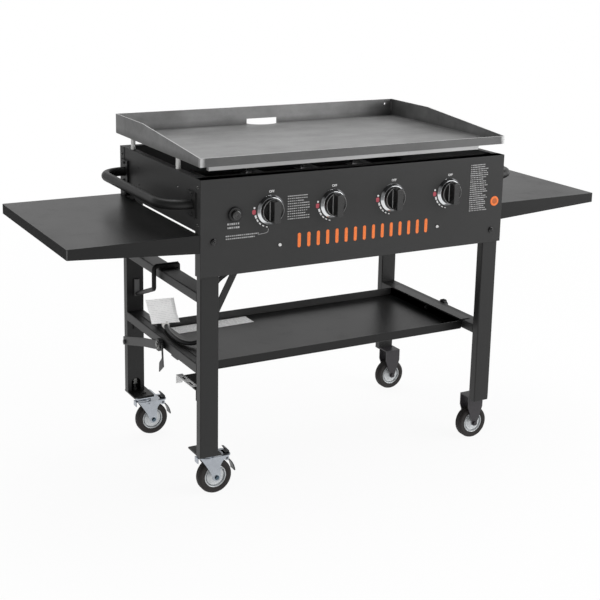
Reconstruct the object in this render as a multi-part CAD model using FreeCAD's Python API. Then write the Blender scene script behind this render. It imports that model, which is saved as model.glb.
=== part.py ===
import FreeCAD, Part
import math
import os

# Outdoor gas griddle station, in millimetres.
# The origin is on the floor under the middle of the cart, +X to the right as seen by
# the cook, the control panel faces -Y, and +Z is up.

Vector = FreeCAD.Vector

# Stock and general clearances
sheet = 1.6
tube_wall = 1.5
leg_width = 50.0
leg_depth = 25.0
bolt_radius = 4.0
screw_radius = 2.5
hole_play = 0.15
running_play = 0.05
moving_gap = 0.3
past = 1.0

# Griddle top, half of its width and depth: the cart is drawn round them
top_half_width = 457.0
top_half_depth = 284.0

# Firebox, as far as its faces stand from the griddle top's edges
box_side_overhang = 1.0
box_front_overhang = 4.0
box_rear_inset = 32.0
box_top = 842.0
side_panel_height = 130.0
front_panel_height = 244.0
corner_return = 31.0
top_flange = 18.0
bottom_flange = 12.0
rear_ear_width = 66.0
side_notch_y = (150.0, 218.0)
side_notch_height = 9.0
side_holes = ((115.0, 40.0), (115.0, 86.0), (-146.0, 41.0))
side_hole_radius = 2.6

# Griddle top
plate_thickness = 4.5
top_wall = 3.0
post_height = 30.0
post_radius = 6.0
post_y = (-130.0, 178.0)
post_pin_radius = 3.5
post_pin_length = 10.0
post_pin_play = 0.5
back_wall_height = 54.0
front_rim_height = 22.0
level_wall_length = 198.0
slot_centre_x = -2.0
slot_width = 100.0
slot_height = 13.5
slot_floor_depth = 35.0
hanging_hole_inset = 27.0
hanging_hole_drop = 14.0
hanging_hole_radius = 3.0
stiffener_left_inset = 28.0
stiffener_right_inset = 78.0
stiffener_width = 12.0
stiffener_height = 12.0
stiffener_inset = 12.0
rear_stiffener_inset = 60.0

# Control panel
knob_count = 4
knob_left_margin = 191.25
knob_right_margin = 183.25
knob_drop = 89.0
knob_radius = 30.0
knob_depth = 32.0
knob_skirt = 12.0
knob_grip_width = 16.0
knob_grip_inset = 2.0
knob_skirt_taper = 1.0
knob_chamfer = 3.0
knob_standoff = 5.0
knob_travel = 4.0
bezel_radius = 38.0
bezel_depth = 8.0
bezel_bore_play = 1.0
bezel_slope = 3.0
stem_radius = 4.0
stem_flat = 3.0
stem_reach = 22.0
panel_stem_hole = 7.0
panel_screw_inset = 218.0
panel_screw_rise = 63.0
panel_screw_head = 5.5

# Igniter
igniter_inset = 92.0
igniter_drop = 91.0
igniter_collar_radius = 19.0
igniter_collar_depth = 6.0
igniter_button_radius = 12.0
igniter_button_depth = 8.0
igniter_travel = 3.0
igniter_edge = 2.0
igniter_neck_radius = 10.0
igniter_body_radius = 15.0
igniter_body_length = 46.0
igniter_stem_radius = 4.0
igniter_stem_length = 18.0

# Gas train
valve_radius = 12.0
valve_length = 42.0
valve_plug_radius = 6.5
valve_plug_length = 26.0
valve_plug_setback = 4.0
valve_flange_width = 34.0
valve_flange_height = 26.0
valve_foot_radius = 8.0
nozzle_radius = 4.5
nozzle_length = 8.0
manifold_radius = 10.5
manifold_drop = 31.0
manifold_setback = 26.0
manifold_left_end = 51.25
manifold_right_end = 45.25
manifold_boss_radius = 9.0
manifold_boss_rise = 3.5
manifold_strap_x = 180.0
manifold_strap_width = 18.0
manifold_strap_thickness = 6.0
hose_inlet_inset = 18.0
hose_inlet_radius = 9.0
hose_inlet_length = 14.0

# Burners
inner_wall_setback = 58.0
inner_wall_gap = 4.0
inner_wall_flange = 12.0
burner_radius = 12.5
burner_wall = 1.5
burner_mouth_lead = 13.0
burner_rear_gap = 60.4
burner_slots = 10
burner_slot_width = 3.0
burner_slot_length = 6.0
burner_slot_start = 150.0
burner_slot_pitch = 30.0
burner_tab_width = 20.0
burner_tab_length = 45.0
burner_tab_thickness = 2.0
burner_rail_depth = 32.0
burner_rail_lip = 14.0
electrode_offset = 24.0
electrode_radius = 3.0
electrode_reach = 24.0

# Handles
handle_tube_radius = 12.5
handle_tube_wall = 2.0
handle_front_inset = 46.0
handle_rear_inset = 40.0
handle_drop = 66.0
handle_reach = 74.0
handle_bend = 60.0
handle_plate_width = 47.0
handle_plate_height = 64.0
handle_plate_thickness = 4.0
handle_bolt_offset = 25.0
handle_bolt_head = 5.0

# Side shelves
shelf_drop = 6.0
shelf_reach = 334.0
shelf_end_inset = 2.0
shelf_outer_flange = 26.0
shelf_inner_flange = 46.0
shelf_rivet_drop = 30.0
shelf_rivet_radius = 3.0
shelf_rivet_head = 6.0

# Legs and crossbars
leg_side_inset = 4.0
leg_front_gap = 7.0
leg_rear_gap = 5.0
left_pivot_rise = 89.0
right_pivot_rise = 36.0
pivot_inset = 31.0
leg_above_pivot = 17.0
pivot_head_radius = 8.0
pivot_head_depth = 5.0
pivot_spacer_radius = 9.0
crossbar_height = 25.0
left_upper_bar_z = 528.0
left_lower_bar_z = 343.0
right_bar_z = 326.0
stay_width = 18.0
stay_thickness = 3.0
stay_foot_inset = 29.0
stay_foot_z = 450.0
stay_head_inset = 136.0
stay_head_rise = 49.0
stay_stud_radius = 5.0
leg_window_height = 39.0
leg_window_width = 28.0
bar_tab_y = (-80.0, -40.0)
bar_tab_inset = 24.0
bar_tab_width = 20.0
bar_tab_height = 26.0

# Bottom tray
tray_end_gap = 2.0
tray_front_gap = 51.0
tray_rear_gap = 57.0
tray_bottom = 325.0
tray_rail_height = 23.0
tray_lip = 30.0
tray_nut_radius = 6.0
tray_nut_length = 4.4

# Hand screws through the crossbars
hand_screw_radius = 3.0
hand_knob_radius = 17.0
hand_knob_depth = 11.0
hand_knob_flutes = 8
hand_knob_flute_radius = 4.0
hand_screw_tip = 4.0
tray_knob_y = -36.0
tray_knob_rise = 15.0
wing_screw_y = -37.0
wing_screw_rise = 9.0
wing_thickness = 3.0
wing_outline = ((-7.0, -2.0), (-20.0, -2.0), (-23.0, -30.0), (-5.0, -49.0), (-3.0, -75.0),
                (-32.0, -52.0), (-29.0, -30.0), (-26.0, 6.0), (-7.0, 6.0))

# Bottle bow and hanger on the left
bow_height = 25.0
bow_thickness = 3.0
bow_bolt_z = 275.0
bow_straight_past_leg = 10.0
bow_straight_end_z = 284.5
bow_middle = ((92.0, 317.5), (8.0, 337.0))
hanger_radius = 6.0
hanger_y = -8.0
hanger_inner_reach = 58.0
hanger_side_gap = 5.0
hanger_pad_thickness = 1.2
hanger_drop_z = 498.0
hanger_foot_inset = 29.0
hanger_foot_z = 420.0
hanger_foot_gap = 2.3
hanger_bend = 10.5
hanger_tab_inset = 20.0
hanger_tab_width = 17.0
hanger_tab_z = (412.0, 462.0)
hanger_tab_thickness = 5.0
lower_tab_inset = 19.0
lower_tab_width = 6.0
lower_tab_height = 29.0

# Bracket behind the left front leg
bracket_length = 111.0
bracket_z = 296.0
bracket_thickness = 3.0
bracket_flange = 26.0
clip_overhang = 4.0
clip_width = 18.0
clip_leg_gap = 21.0
clip_length = 98.0
clip_thickness = 1.5
clip_tab_drop = 22.0
clip_slot_length = 24.0
clip_slot_width = 6.0
clip_slot_shares = (0.25, 0.68)

# Wheels
wheel_radius = 46.5
tyre_width = 27.0
tyre_shoulder = 6.0
rim_radius = 33.0
rim_half_width = 11.0
rim_flange = 4.0
rim_web_half = 2.0
hub_radius = 9.0
hub_half_length = 15.5
axle_radius = 4.0

# Swivel casters on the left legs
swivel_inset = 37.0
swivel_front_setback = 50.0
swivel_rear_setback = 24.0
caster_trail = 24.0
head_over_wheel = 9.0
head_thickness = 3.0
race_height = 13.7
race_radius = 22.0
top_plate_side = 64.0
top_plate_corner = 12.0
top_plate_thickness = 3.0
foot_plate_thickness = 4.0
foot_plate_width = 60.0
foot_plate_depth = 75.0
kingpin_radius = 6.0
kingpin_head_radius = 9.0
kingpin_head_height = 2.5
kingpin_flange_radius = 8.0
head_x = (-23.0, 65.0)
head_half_width = 23.5
head_tail_drop = 14.0
cheek_top_x = (-19.0, 45.0)
cheek_shoulders = ((37.0, 14.0), (35.0, 32.0))
cheek_inner = 16.5
cheek_thickness = 3.0
cheek_hub_radius = 11.0
axle_head_radius = 6.5
axle_head_depth = 4.5
foot_bolt_radius = 4.0

# Brake levers, measured from the swivel axis
lever_pivot_x = 53.0
lever_pivot_drop = 7.0
lever_half_width = 12.0
lever_thickness = 3.0
lever_pin_radius = 3.0
lever_boss_radius = 5.5
lever_ear_half = 6.0
lever_slot_start = 5.0
lever_tyre_gap = 8.0
lever_blade_angles = (54, 44, 34, 24, 14, 6)
lever_horn_inset = 3.0
lever_horn = ((-4.0, 3.0), (5.0, -2.0), (12.0, 7.0), (11.0, 15.0), (3.0, 24.0), (-3.0, 25.0),
              (4.0, 14.0))

# Fixed casters on the right legs
fixed_wheel_inset = 24.0
fork_overhang = 1.0
fork_width = 50.0
fork_depth = 42.0
fork_sheet = 3.0
fork_overlap = 5.0
fork_tip_radius = 8.0
fork_shoulder = 35.0

# Grease cup behind the slot
cup_half_width = 56.0
cup_depth_y = 69.0
cup_height = 80.0
cup_wall = 1.2
cup_flange = 10.0
cup_flange_thickness = 1.5
cup_rim_drop = 5.0
cup_back_gap = 4.0
rail_sheet = 1.6
rail_play = 0.4

# Regulator and gas hose
regulator_setback = 30.0
regulator_radius = 27.0
regulator_thickness = 28.0
regulator_front_radius = 21.0
regulator_front_depth = 10.0
regulator_back_radius = 15.0
regulator_back_depth = 8.0
regulator_nut_overlap = 2.0
regulator_nut_radius = 11.0
regulator_nut_height = 13.0
regulator_outlet_radius = 7.0
regulator_outlet_length = 26.0
hose_radius = 6.0
bend_share = 0.45
hose_route = ((-405.0, 68.0, 382.0), (-414.0, 35.0, 378.5), (-426.0, -14.0, 376.2),
              (-430.5, -60.0, 376.0), (-430.0, -96.0, 376.0), (-421.0, -126.0, 376.5),
              (-401.0, -143.0, 381.0), (-382.0, -150.0, 397.0), (-371.0, -152.0, 425.0),
              (-367.0, -152.0, 463.0), (-366.0, -154.0, 505.0), (-361.0, -166.0, 545.0),
              (-344.0, -212.0, 584.0), (-300.0, -262.0, 632.0))

# Paper tag tied to the hose: one corner and two edges
tag_corner = (-458.0, 88.0, 433.5)
tag_width_edge = (56.0, -64.0, 15.0)
tag_height_edge = (4.0, -28.0, -55.5)
tag_thickness = 0.6
tag_tie_length = 4.0
tag_tie_thickness = 1.4
tag_string_radius = 0.8
tag_string_share = 0.75

# Fasteners
corner_screw_head = 4.0
corner_screw_head_depth = 2.0
handle_bolt_head_depth = 3.0
panel_screw_head_depth = 1.5
head_taper = 0.7
screw_past_sheet = 2.0
pivot_nut_depth = 6.5
pivot_thread_past_nut = 1.5
rivet_head_depth = 2.0
rivet_tail_radius = 5.0
rivet_tail_depth = 1.2
stay_nut_radius = 7.0
stay_nut_depth = 5.0
bow_bolt_head = 6.5
bow_bolt_head_depth = 4.0
foot_bolt_length = 22.0
foot_nut_depth = 7.0

# Places worked out from the sizes above: firebox and griddle top
box_half_width = top_half_width + box_side_overhang
box_front = -top_half_depth - box_front_overhang
box_back = top_half_depth - box_rear_inset
side_bottom = box_top - side_panel_height
panel_bottom = box_top - front_panel_height
plate_underside = box_top + post_height
plate_top = plate_underside + plate_thickness
panel_inner = box_front + sheet
rear_inner = box_back - sheet
side_outer = box_half_width - sheet
side_inner = side_outer - sheet
post_x = side_outer - top_flange / 2
shelf_top = side_bottom - shelf_drop

# Places of the panel's fittings and the gas train
knob_z = box_top - knob_drop
knob_pitch = (2 * box_half_width - knob_left_margin - knob_right_margin) / (knob_count - 1)
knob_x = [-box_half_width + knob_left_margin + knob_pitch * index for index in range(knob_count)]
igniter_x = -box_half_width + igniter_inset
igniter_z = box_top - igniter_drop
panel_screw_x = box_half_width - panel_screw_inset
panel_screw_z = panel_bottom + panel_screw_rise
inner_wall_y = box_front + inner_wall_setback
inner_wall_z = (side_bottom + inner_wall_gap, box_top - inner_wall_gap)
burner_end_y = rear_inner - burner_rear_gap
manifold_x = (knob_x[0] - manifold_left_end, knob_x[-1] + manifold_right_end)
manifold_y = box_front + manifold_setback
manifold_z = knob_z - manifold_drop
hose_inlet_x = manifold_x[0] + hose_inlet_inset
hose_inlet_bottom = manifold_z - hose_inlet_length
handle_y = (box_front + handle_front_inset, box_back - handle_rear_inset)
handle_z = box_top - handle_drop

# Places of the legs and what hangs between them
leg_half_span = box_half_width - leg_side_inset
leg_inner_x = leg_half_span - leg_width
front_leg_y = box_front + leg_front_gap
front_leg_back = front_leg_y + leg_depth
rear_leg_back = box_back - leg_rear_gap
rear_leg_y = rear_leg_back - leg_depth
pivot_x = leg_half_span - pivot_inset
left_pivot_z = panel_bottom + left_pivot_rise
right_pivot_z = panel_bottom + right_pivot_rise
stay_foot = (-leg_half_span + stay_foot_inset, stay_foot_z)
stay_head = (-box_half_width + stay_head_inset, panel_bottom + stay_head_rise)
tray_half_length = leg_inner_x - tray_end_gap
tray_front = front_leg_back + tray_front_gap
tray_back = rear_leg_y - tray_rear_gap
tray_knob_z = right_bar_z + tray_knob_rise
wing_screw_z = left_lower_bar_z + wing_screw_rise

# Places of the wheels and casters
wheel_centre_z = wheel_radius
head_bottom = 2 * wheel_radius + head_over_wheel
head_top = head_bottom + head_thickness
race_top = head_top + race_height
top_plate_bottom = race_top + moving_gap
foot_plate_bottom = top_plate_bottom + top_plate_thickness
leg_bottom = foot_plate_bottom + foot_plate_thickness
swivel_x = -leg_half_span + swivel_inset
swivel_front_y = front_leg_y + swivel_front_setback
swivel_rear_y = rear_leg_y - swivel_rear_setback
fork_x = (leg_half_span + fork_overhang - fork_width, leg_half_span + fork_overhang)
fixed_wheel_x = leg_half_span - fixed_wheel_inset
lever_pivot_z = head_bottom - lever_pivot_drop


# Simple solids

def box(x0, x1, y0, y1, z0, z1):
    corner = Vector(min(x0, x1), min(y0, y1), min(z0, z1))
    return Part.makeBox(abs(x1 - x0), abs(y1 - y0), abs(z1 - z0), corner)


def rod_x(x0, x1, y, z, radius):
    return Part.makeCylinder(radius, abs(x1 - x0), Vector(min(x0, x1), y, z), Vector(1, 0, 0))


def rod_y(x, y0, y1, z, radius):
    return Part.makeCylinder(radius, abs(y1 - y0), Vector(x, min(y0, y1), z), Vector(0, 1, 0))


def rod_z(x, y, z0, z1, radius):
    return Part.makeCylinder(radius, abs(z1 - z0), Vector(x, y, min(z0, z1)), Vector(0, 0, 1))


def extrude(points, direction):
    return Part.Face(Part.makePolygon(points + [points[0]])).extrude(direction)


def plate_xz(points, y0, y1):
    return extrude([Vector(x, y0, z) for x, z in points], Vector(0, y1 - y0, 0))


def plate_yz(points, x0, x1):
    return extrude([Vector(x0, y, z) for y, z in points], Vector(x1 - x0, 0, 0))


def union(shapes):
    first = shapes[0]
    return first.fuse(shapes[1:]).removeSplitter()


def cut(shape, tools):
    return shape.cut(tools)


def mirrored(shape):
    return shape.mirror(Vector(0, 0, 0), Vector(1, 0, 0))


def turned_about_y(profile, x, y, z):
    """A ring turned about a line along Y through (x, z); profile holds (radius, offset) pairs."""
    points = [Vector(x + radius, y + offset, z) for radius, offset in profile]
    face = Part.Face(Part.makePolygon(points + [points[0]]))
    return face.revolve(Vector(x, y, z), Vector(0, 1, 0), 360)


def hexagon_y(x, y0, y1, z, radius):
    corners = [math.radians(60 * index) for index in range(6)]
    points = [(x + radius * math.cos(angle), z + radius * math.sin(angle)) for angle in corners]
    return plate_xz(points, y0, y1)


def rounded_plate_z(x, y, side, corner, z0, z1):
    plate = box(x - side / 2, x + side / 2, y - side / 2, y + side / 2, z0, z1)
    upright = [edge for edge in plate.Edges if edge.BoundBox.ZLength > abs(z1 - z0) / 2]
    return plate.makeFillet(corner, upright)


def rounded_path(points, radii):
    """Straight runs joined by tangent arcs, one radius for each inner point."""
    edges = []
    start = points[0]
    for before, corner, after, radius in zip(points, points[1:], points[2:], radii):
        inward = (before - corner).normalize()
        outward = (after - corner).normalize()
        half_turn = (math.pi - inward.getAngle(outward)) / 2
        setback = radius * math.tan(half_turn)
        first = corner + inward * setback
        last = corner + outward * setback
        towards_centre = (inward + outward).normalize()
        middle = corner + towards_centre * (radius / math.cos(half_turn) - radius)
        edges.append(Part.LineSegment(start, first).toShape())
        edges.append(Part.Arc(first, middle, last).toShape())
        start = last
    edges.append(Part.LineSegment(start, points[-1]).toShape())
    return Part.Wire(edges)


def pipe(points, radii, radius):
    path = rounded_path(points, radii)
    ring = Part.Wire(Part.makeCircle(radius, points[0], points[1] - points[0]))
    return path.makePipeShell([ring], True, False)


def export(name, solids):
    shape = solids[0] if len(solids) == 1 else Part.makeCompound(solids)
    shape.exportStep(os.path.join("parts", name + ".step"))


# Griddle top and what is welded under it

def make_griddle_top():
    back_top = plate_underside + back_wall_height
    rim_top = plate_underside + front_rim_height
    side_profile = [(-top_half_depth, plate_underside), (top_half_depth, plate_underside),
                    (top_half_depth, back_top), (top_half_depth - level_wall_length, back_top),
                    (-top_half_depth, rim_top)]
    side = plate_yz(side_profile, -top_half_width, -top_half_width + top_wall)
    shell = union([
        box(-top_half_width, top_half_width, -top_half_depth, top_half_depth,
            plate_underside, plate_top),
        box(-top_half_width, top_half_width, top_half_depth - top_wall, top_half_depth,
            plate_underside, back_top),
        box(-top_half_width, top_half_width, -top_half_depth, -top_half_depth + top_wall,
            plate_underside, rim_top),
        side,
        mirrored(side)])
    slot_left = slot_centre_x - slot_width / 2
    slot_right = slot_centre_x + slot_width / 2
    slot = box(slot_left, slot_right, top_half_depth - slot_floor_depth,
               top_half_depth + top_wall, plate_underside - top_wall, plate_top + slot_height)
    slot_corners = [edge for edge in slot.Edges if edge.BoundBox.ZLength > slot_height
                    and edge.BoundBox.YMax < top_half_depth]
    slot = slot.makeFillet(slot_height / 2, slot_corners)
    hanging_hole = rod_y(top_half_width - hanging_hole_inset, top_half_depth - 2 * top_wall,
                         top_half_depth + top_wall, back_top - hanging_hole_drop,
                         hanging_hole_radius)
    return cut(shell, [slot, hanging_hole])


def make_griddle_supports():
    front_bar_y = -top_half_depth + stiffener_inset
    rear_bar_y = top_half_depth - rear_stiffener_inset
    left = -top_half_width + stiffener_left_inset
    right = top_half_width - stiffener_right_inset
    bars = [box(left, right, y, y + stiffener_width,
                plate_underside - stiffener_height, plate_underside)
            for y in (front_bar_y, rear_bar_y)]
    posts = []
    for x in (-post_x, post_x):
        for y in post_y:
            post = rod_z(x, y, box_top, plate_underside, post_radius)
            pin = rod_z(x, y, box_top - post_pin_length, box_top, post_pin_radius)
            posts.append(union([post, pin]))
    return bars + posts


# Firebox

def corner_screw_places():
    """Y and Z of the small screws that join each side to the front and rear panels."""
    front_y = box_front + corner_return / 2
    rear_y = box_back - corner_return / 2
    low = side_bottom + corner_return / 2
    high = box_top - corner_return * 2 / 3
    return [(y, z) for y in (front_y, rear_y) for z in (low, high)]


def corner_screw_holes():
    holes = []
    for side in (-1, 1):
        for y, z in corner_screw_places():
            holes.append(rod_x(side * (side_inner - past), side * (box_half_width + past), y, z,
                               screw_radius + hole_play))
    return holes


def pivot_places():
    return [(-pivot_x, left_pivot_z), (pivot_x, right_pivot_z)]


def pivot_holes():
    holes = []
    for x, z in pivot_places():
        holes.append(rod_y(x, box_front - past, box_back + past, z, bolt_radius + hole_play))
    return holes


def shelf_rivet_places():
    z = shelf_top - shelf_rivet_drop
    return [(y, z) for y in (box_front + corner_return / 2, box_back - corner_return / 2)]


def shelf_rivet_holes():
    holes = []
    for side in (-1, 1):
        for y, z in shelf_rivet_places():
            holes.append(rod_x(side * (side_outer - past), side * (box_half_width + sheet + past), y, z,
                               shelf_rivet_radius + hole_play))
    return holes


def make_control_panel():
    returns = [box(side * side_outer, side * box_half_width, box_front,
                   box_front + corner_return, panel_bottom, box_top) for side in (-1, 1)]
    flange_half = side_inner - moving_gap
    lower_half = leg_inner_x - sheet
    shell = union([
        box(-box_half_width, box_half_width, box_front, panel_inner, panel_bottom, box_top),
        box(-flange_half, flange_half, box_front, box_front + top_flange, box_top - sheet,
            box_top),
        box(-lower_half, lower_half, box_front, box_front + bottom_flange, panel_bottom,
            panel_bottom + sheet)] + returns)
    stem_holes = [rod_y(x, box_front - past, panel_inner + past, knob_z, panel_stem_hole)
                  for x in knob_x]
    igniter_hole = rod_y(igniter_x, box_front - past, panel_inner + past, igniter_z,
                         igniter_neck_radius + hole_play)
    screw_holes = [rod_y(x, box_front - past, panel_inner + past, panel_screw_z,
                         screw_radius + hole_play) for x in (-panel_screw_x, panel_screw_x)]
    stud = rod_y(stay_head[0], panel_inner, front_leg_back + 2 * stay_thickness, stay_head[1],
                 stay_stud_radius)
    drilled = cut(shell, stem_holes + [igniter_hole] + screw_holes + pivot_holes()
                  + corner_screw_holes() + shelf_rivet_holes())
    return union([drilled, stud])


def make_side_panel():
    """The left side; the right one is its mirror image."""
    notch_top = side_bottom + side_notch_height
    flange_start = box_front + top_flange + moving_gap
    flange_end = box_back - top_flange - moving_gap
    shell = union([
        box(-side_outer, -side_inner, panel_inner, rear_inner, side_bottom, box_top),
        box(-side_outer, -side_outer + top_flange, flange_start, flange_end, box_top - sheet,
            box_top)])
    notch = box(-side_outer - past, -side_inner + past, side_notch_y[0], side_notch_y[1],
                side_bottom - past, notch_top)
    holes = [rod_x(-side_outer - past, -side_inner + past, y, box_top - drop, side_hole_radius)
             for y, drop in side_holes]
    pin_holes = [rod_z(-post_x, y, box_top - sheet - past, box_top + past,
                       post_pin_radius + post_pin_play) for y in post_y]
    return cut(shell, [notch] + holes + pin_holes + corner_screw_holes()
               + handle_bolt_holes())


def make_rear_panel():
    outline = [(-box_half_width, box_top), (box_half_width, box_top),
               (box_half_width, panel_bottom), (box_half_width - rear_ear_width, panel_bottom),
               (box_half_width - rear_ear_width, side_bottom),
               (-box_half_width + rear_ear_width, side_bottom),
               (-box_half_width + rear_ear_width, panel_bottom),
               (-box_half_width, panel_bottom)]
    returns = [box(side * side_outer, side * box_half_width, box_back - corner_return,
                   box_back, panel_bottom, box_top) for side in (-1, 1)]
    flange_half = side_inner - moving_gap
    shell = union([
        plate_xz(outline, rear_inner, box_back),
        box(-flange_half, flange_half, box_back - top_flange, box_back, box_top - sheet,
            box_top)] + returns)
    return cut(shell, pivot_holes() + corner_screw_holes() + shelf_rivet_holes())


# Gas train, burners and igniter

def make_manifold():
    pipe_run = rod_x(manifold_x[0], manifold_x[1], manifold_y, manifold_z, manifold_radius)
    boss_top = manifold_z + manifold_radius + manifold_boss_rise
    bosses = [rod_z(x, manifold_y, manifold_z, boss_top, manifold_boss_radius)
              for x in knob_x]
    straps = [box(x - manifold_strap_width / 2, x + manifold_strap_width / 2, panel_inner,
                  manifold_y, manifold_z - manifold_strap_thickness / 2,
                  manifold_z + manifold_strap_thickness / 2)
              for x in (-manifold_strap_x, manifold_strap_x)]
    inlet = rod_z(hose_inlet_x, manifold_y, hose_inlet_bottom, manifold_z, hose_inlet_radius)
    return union([pipe_run] + bosses + straps + [inlet])


def make_valve(x):
    valve_end = panel_inner + valve_length
    body = union([
        rod_y(x, panel_inner, valve_end, knob_z, valve_radius),
        box(x - valve_flange_width / 2, x + valve_flange_width / 2, panel_inner,
            panel_inner + 2 * sheet, knob_z - valve_flange_height / 2,
            knob_z + valve_flange_height / 2),
        rod_y(x, valve_end, valve_end + nozzle_length, knob_z, nozzle_radius),
        rod_z(x, manifold_y, manifold_z + manifold_radius + manifold_boss_rise, knob_z,
              valve_foot_radius)])
    bore = rod_y(x, panel_inner - past, panel_inner + valve_plug_setback + valve_plug_length,
                 knob_z, valve_plug_radius)
    return cut(body, [bore])


def flatted_rod_y(x, y0, y1, z, radius, flat):
    """A shaft with one flat above its axis, so that it turns what it sits in."""
    shaft = rod_y(x, y0, y1, z, radius)
    above_flat = box(x - 2 * radius, x + 2 * radius, y0 - past, y1 + past, z + flat, z + 2 * radius)
    return cut(shaft, [above_flat])


def stem_end():
    return box_front - knob_standoff + stem_reach


def make_valve_plug(x):
    front = panel_inner + valve_plug_setback
    plug = rod_y(x, front, front + valve_plug_length - moving_gap, knob_z,
                 valve_plug_radius - running_play)
    socket = flatted_rod_y(x, front - past, stem_end() + knob_travel + moving_gap, knob_z,
                           stem_radius + running_play, stem_flat + running_play)
    return cut(plug, [socket])


def make_knob(x):
    base = box_front - knob_standoff
    skirt_front = base - knob_skirt
    front = base - knob_depth
    upper_radius = knob_radius - knob_skirt_taper
    skirt = turned_about_y([(0, base), (knob_radius, base),
                            (upper_radius, skirt_front + knob_chamfer),
                            (upper_radius - knob_chamfer, skirt_front), (0, skirt_front)],
                           x, 0, knob_z)
    round_grip = rod_y(x, front, base, knob_z, knob_radius - knob_grip_inset)
    grip = round_grip.common(box(x - knob_grip_width / 2, x + knob_grip_width / 2, front, base,
                                 knob_z - knob_radius, knob_z + knob_radius))
    front_edges = [edge for edge in grip.Edges if edge.BoundBox.YMax < front + 0.1]
    grip = grip.makeFillet(knob_grip_width / 8, front_edges)
    stem = flatted_rod_y(x, base - past, stem_end(), knob_z, stem_radius, stem_flat)
    return union([skirt, grip, stem])


def make_bezel(x):
    inner = knob_radius + bezel_bore_play
    outer_front = bezel_radius - bezel_slope
    front = box_front - bezel_depth
    return turned_about_y([(inner, box_front), (bezel_radius, box_front),
                           (outer_front, front), (inner, front)], x, 0, knob_z)


def igniter_neck_front():
    return box_front - igniter_collar_depth / 3


def make_igniter_module():
    body = union([
        rod_y(igniter_x, panel_inner, panel_inner + igniter_body_length, igniter_z,
              igniter_body_radius),
        rod_y(igniter_x, igniter_neck_front(), panel_inner, igniter_z, igniter_neck_radius)])
    stem_bore = rod_y(igniter_x, igniter_neck_front() - past,
                      igniter_neck_front() + igniter_stem_length + igniter_travel, igniter_z,
                      igniter_stem_radius + running_play)
    collar_front = box_front - igniter_collar_depth
    inner = igniter_button_radius + moving_gap
    collar = turned_about_y([(igniter_neck_radius, box_front), (igniter_collar_radius, box_front),
                             (igniter_collar_radius - igniter_edge, collar_front), (inner, collar_front),
                             (inner, igniter_neck_front()),
                             (igniter_neck_radius, igniter_neck_front())],
                            igniter_x, 0, igniter_z)
    return [cut(body, [stem_bore]), collar]


def make_igniter_button():
    back = igniter_neck_front() - igniter_travel - moving_gap
    front = back - igniter_button_depth
    cap = turned_about_y([(0, back), (igniter_button_radius, back),
                          (igniter_button_radius, front + igniter_edge),
                          (igniter_button_radius - igniter_edge, front),
                          (0, front)], igniter_x, 0, igniter_z)
    stem = rod_y(igniter_x, back - past, igniter_neck_front() + igniter_stem_length - moving_gap,
                 igniter_z, igniter_stem_radius)
    return union([cap, stem])


def burner_mouth_y():
    return inner_wall_y - burner_mouth_lead


def make_inner_wall():
    flanges = [box(side * side_inner, side * (side_inner - sheet), inner_wall_y,
                   inner_wall_y + inner_wall_flange, inner_wall_z[0], inner_wall_z[1])
               for side in (-1, 1)]
    shell = union([box(-side_inner, side_inner, inner_wall_y, inner_wall_y + sheet,
                       inner_wall_z[0], inner_wall_z[1])] + flanges)
    holes = [rod_y(x, inner_wall_y - past, inner_wall_y + sheet + past, knob_z,
                   burner_radius + moving_gap) for x in knob_x]
    electrode_holes = [rod_y(x + electrode_offset, inner_wall_y - past, inner_wall_y + sheet + past,
                             knob_z, electrode_radius + hole_play) for x in knob_x]
    return cut(shell, holes + electrode_holes)


def make_burner_rail():
    rest_z = knob_z - burner_radius
    return union([
        box(-side_inner, side_inner, rear_inner - burner_rail_depth, rear_inner,
            rest_z - sheet, rest_z),
        box(-side_inner, side_inner, rear_inner - sheet, rear_inner,
            rest_z - burner_rail_lip, rest_z)])


def make_burner(x):
    mouth = burner_mouth_y()
    rest_z = knob_z - burner_radius
    tube = union([
        rod_y(x, mouth, burner_end_y, knob_z, burner_radius),
        box(x - burner_tab_width / 2, x + burner_tab_width / 2, burner_end_y - burner_tab_thickness,
            burner_end_y + burner_tab_length, rest_z, rest_z + burner_tab_thickness)])
    bore = rod_y(x, mouth - past, burner_end_y - burner_tab_thickness, knob_z,
                 burner_radius - burner_wall)
    slots = []
    for index in range(burner_slots):
        y = mouth + burner_slot_start + index * burner_slot_pitch
        slots.append(box(x - 2 * burner_radius, x + 2 * burner_radius, y,
                         y + burner_slot_width, knob_z, knob_z + burner_slot_length))
    return cut(tube, [bore] + slots)


def make_electrode(x):
    head = rod_y(x + electrode_offset, inner_wall_y - electrode_reach / 2,
                 inner_wall_y + electrode_reach, knob_z, electrode_radius)
    collar = rod_y(x + electrode_offset, inner_wall_y + sheet, inner_wall_y + 2 * sheet, knob_z,
                   2 * electrode_radius)
    return union([head, collar])


# Handles and shelves

def handle_bolt_places():
    return [(y, handle_z + offset) for y in handle_y
            for offset in (-handle_bolt_offset, handle_bolt_offset)]


def handle_bolt_holes():
    holes = []
    for y, z in handle_bolt_places():
        holes.append(rod_x(-box_half_width - handle_plate_thickness - past, -side_inner + past, y, z,
                           screw_radius + hole_play))
    return holes


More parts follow.
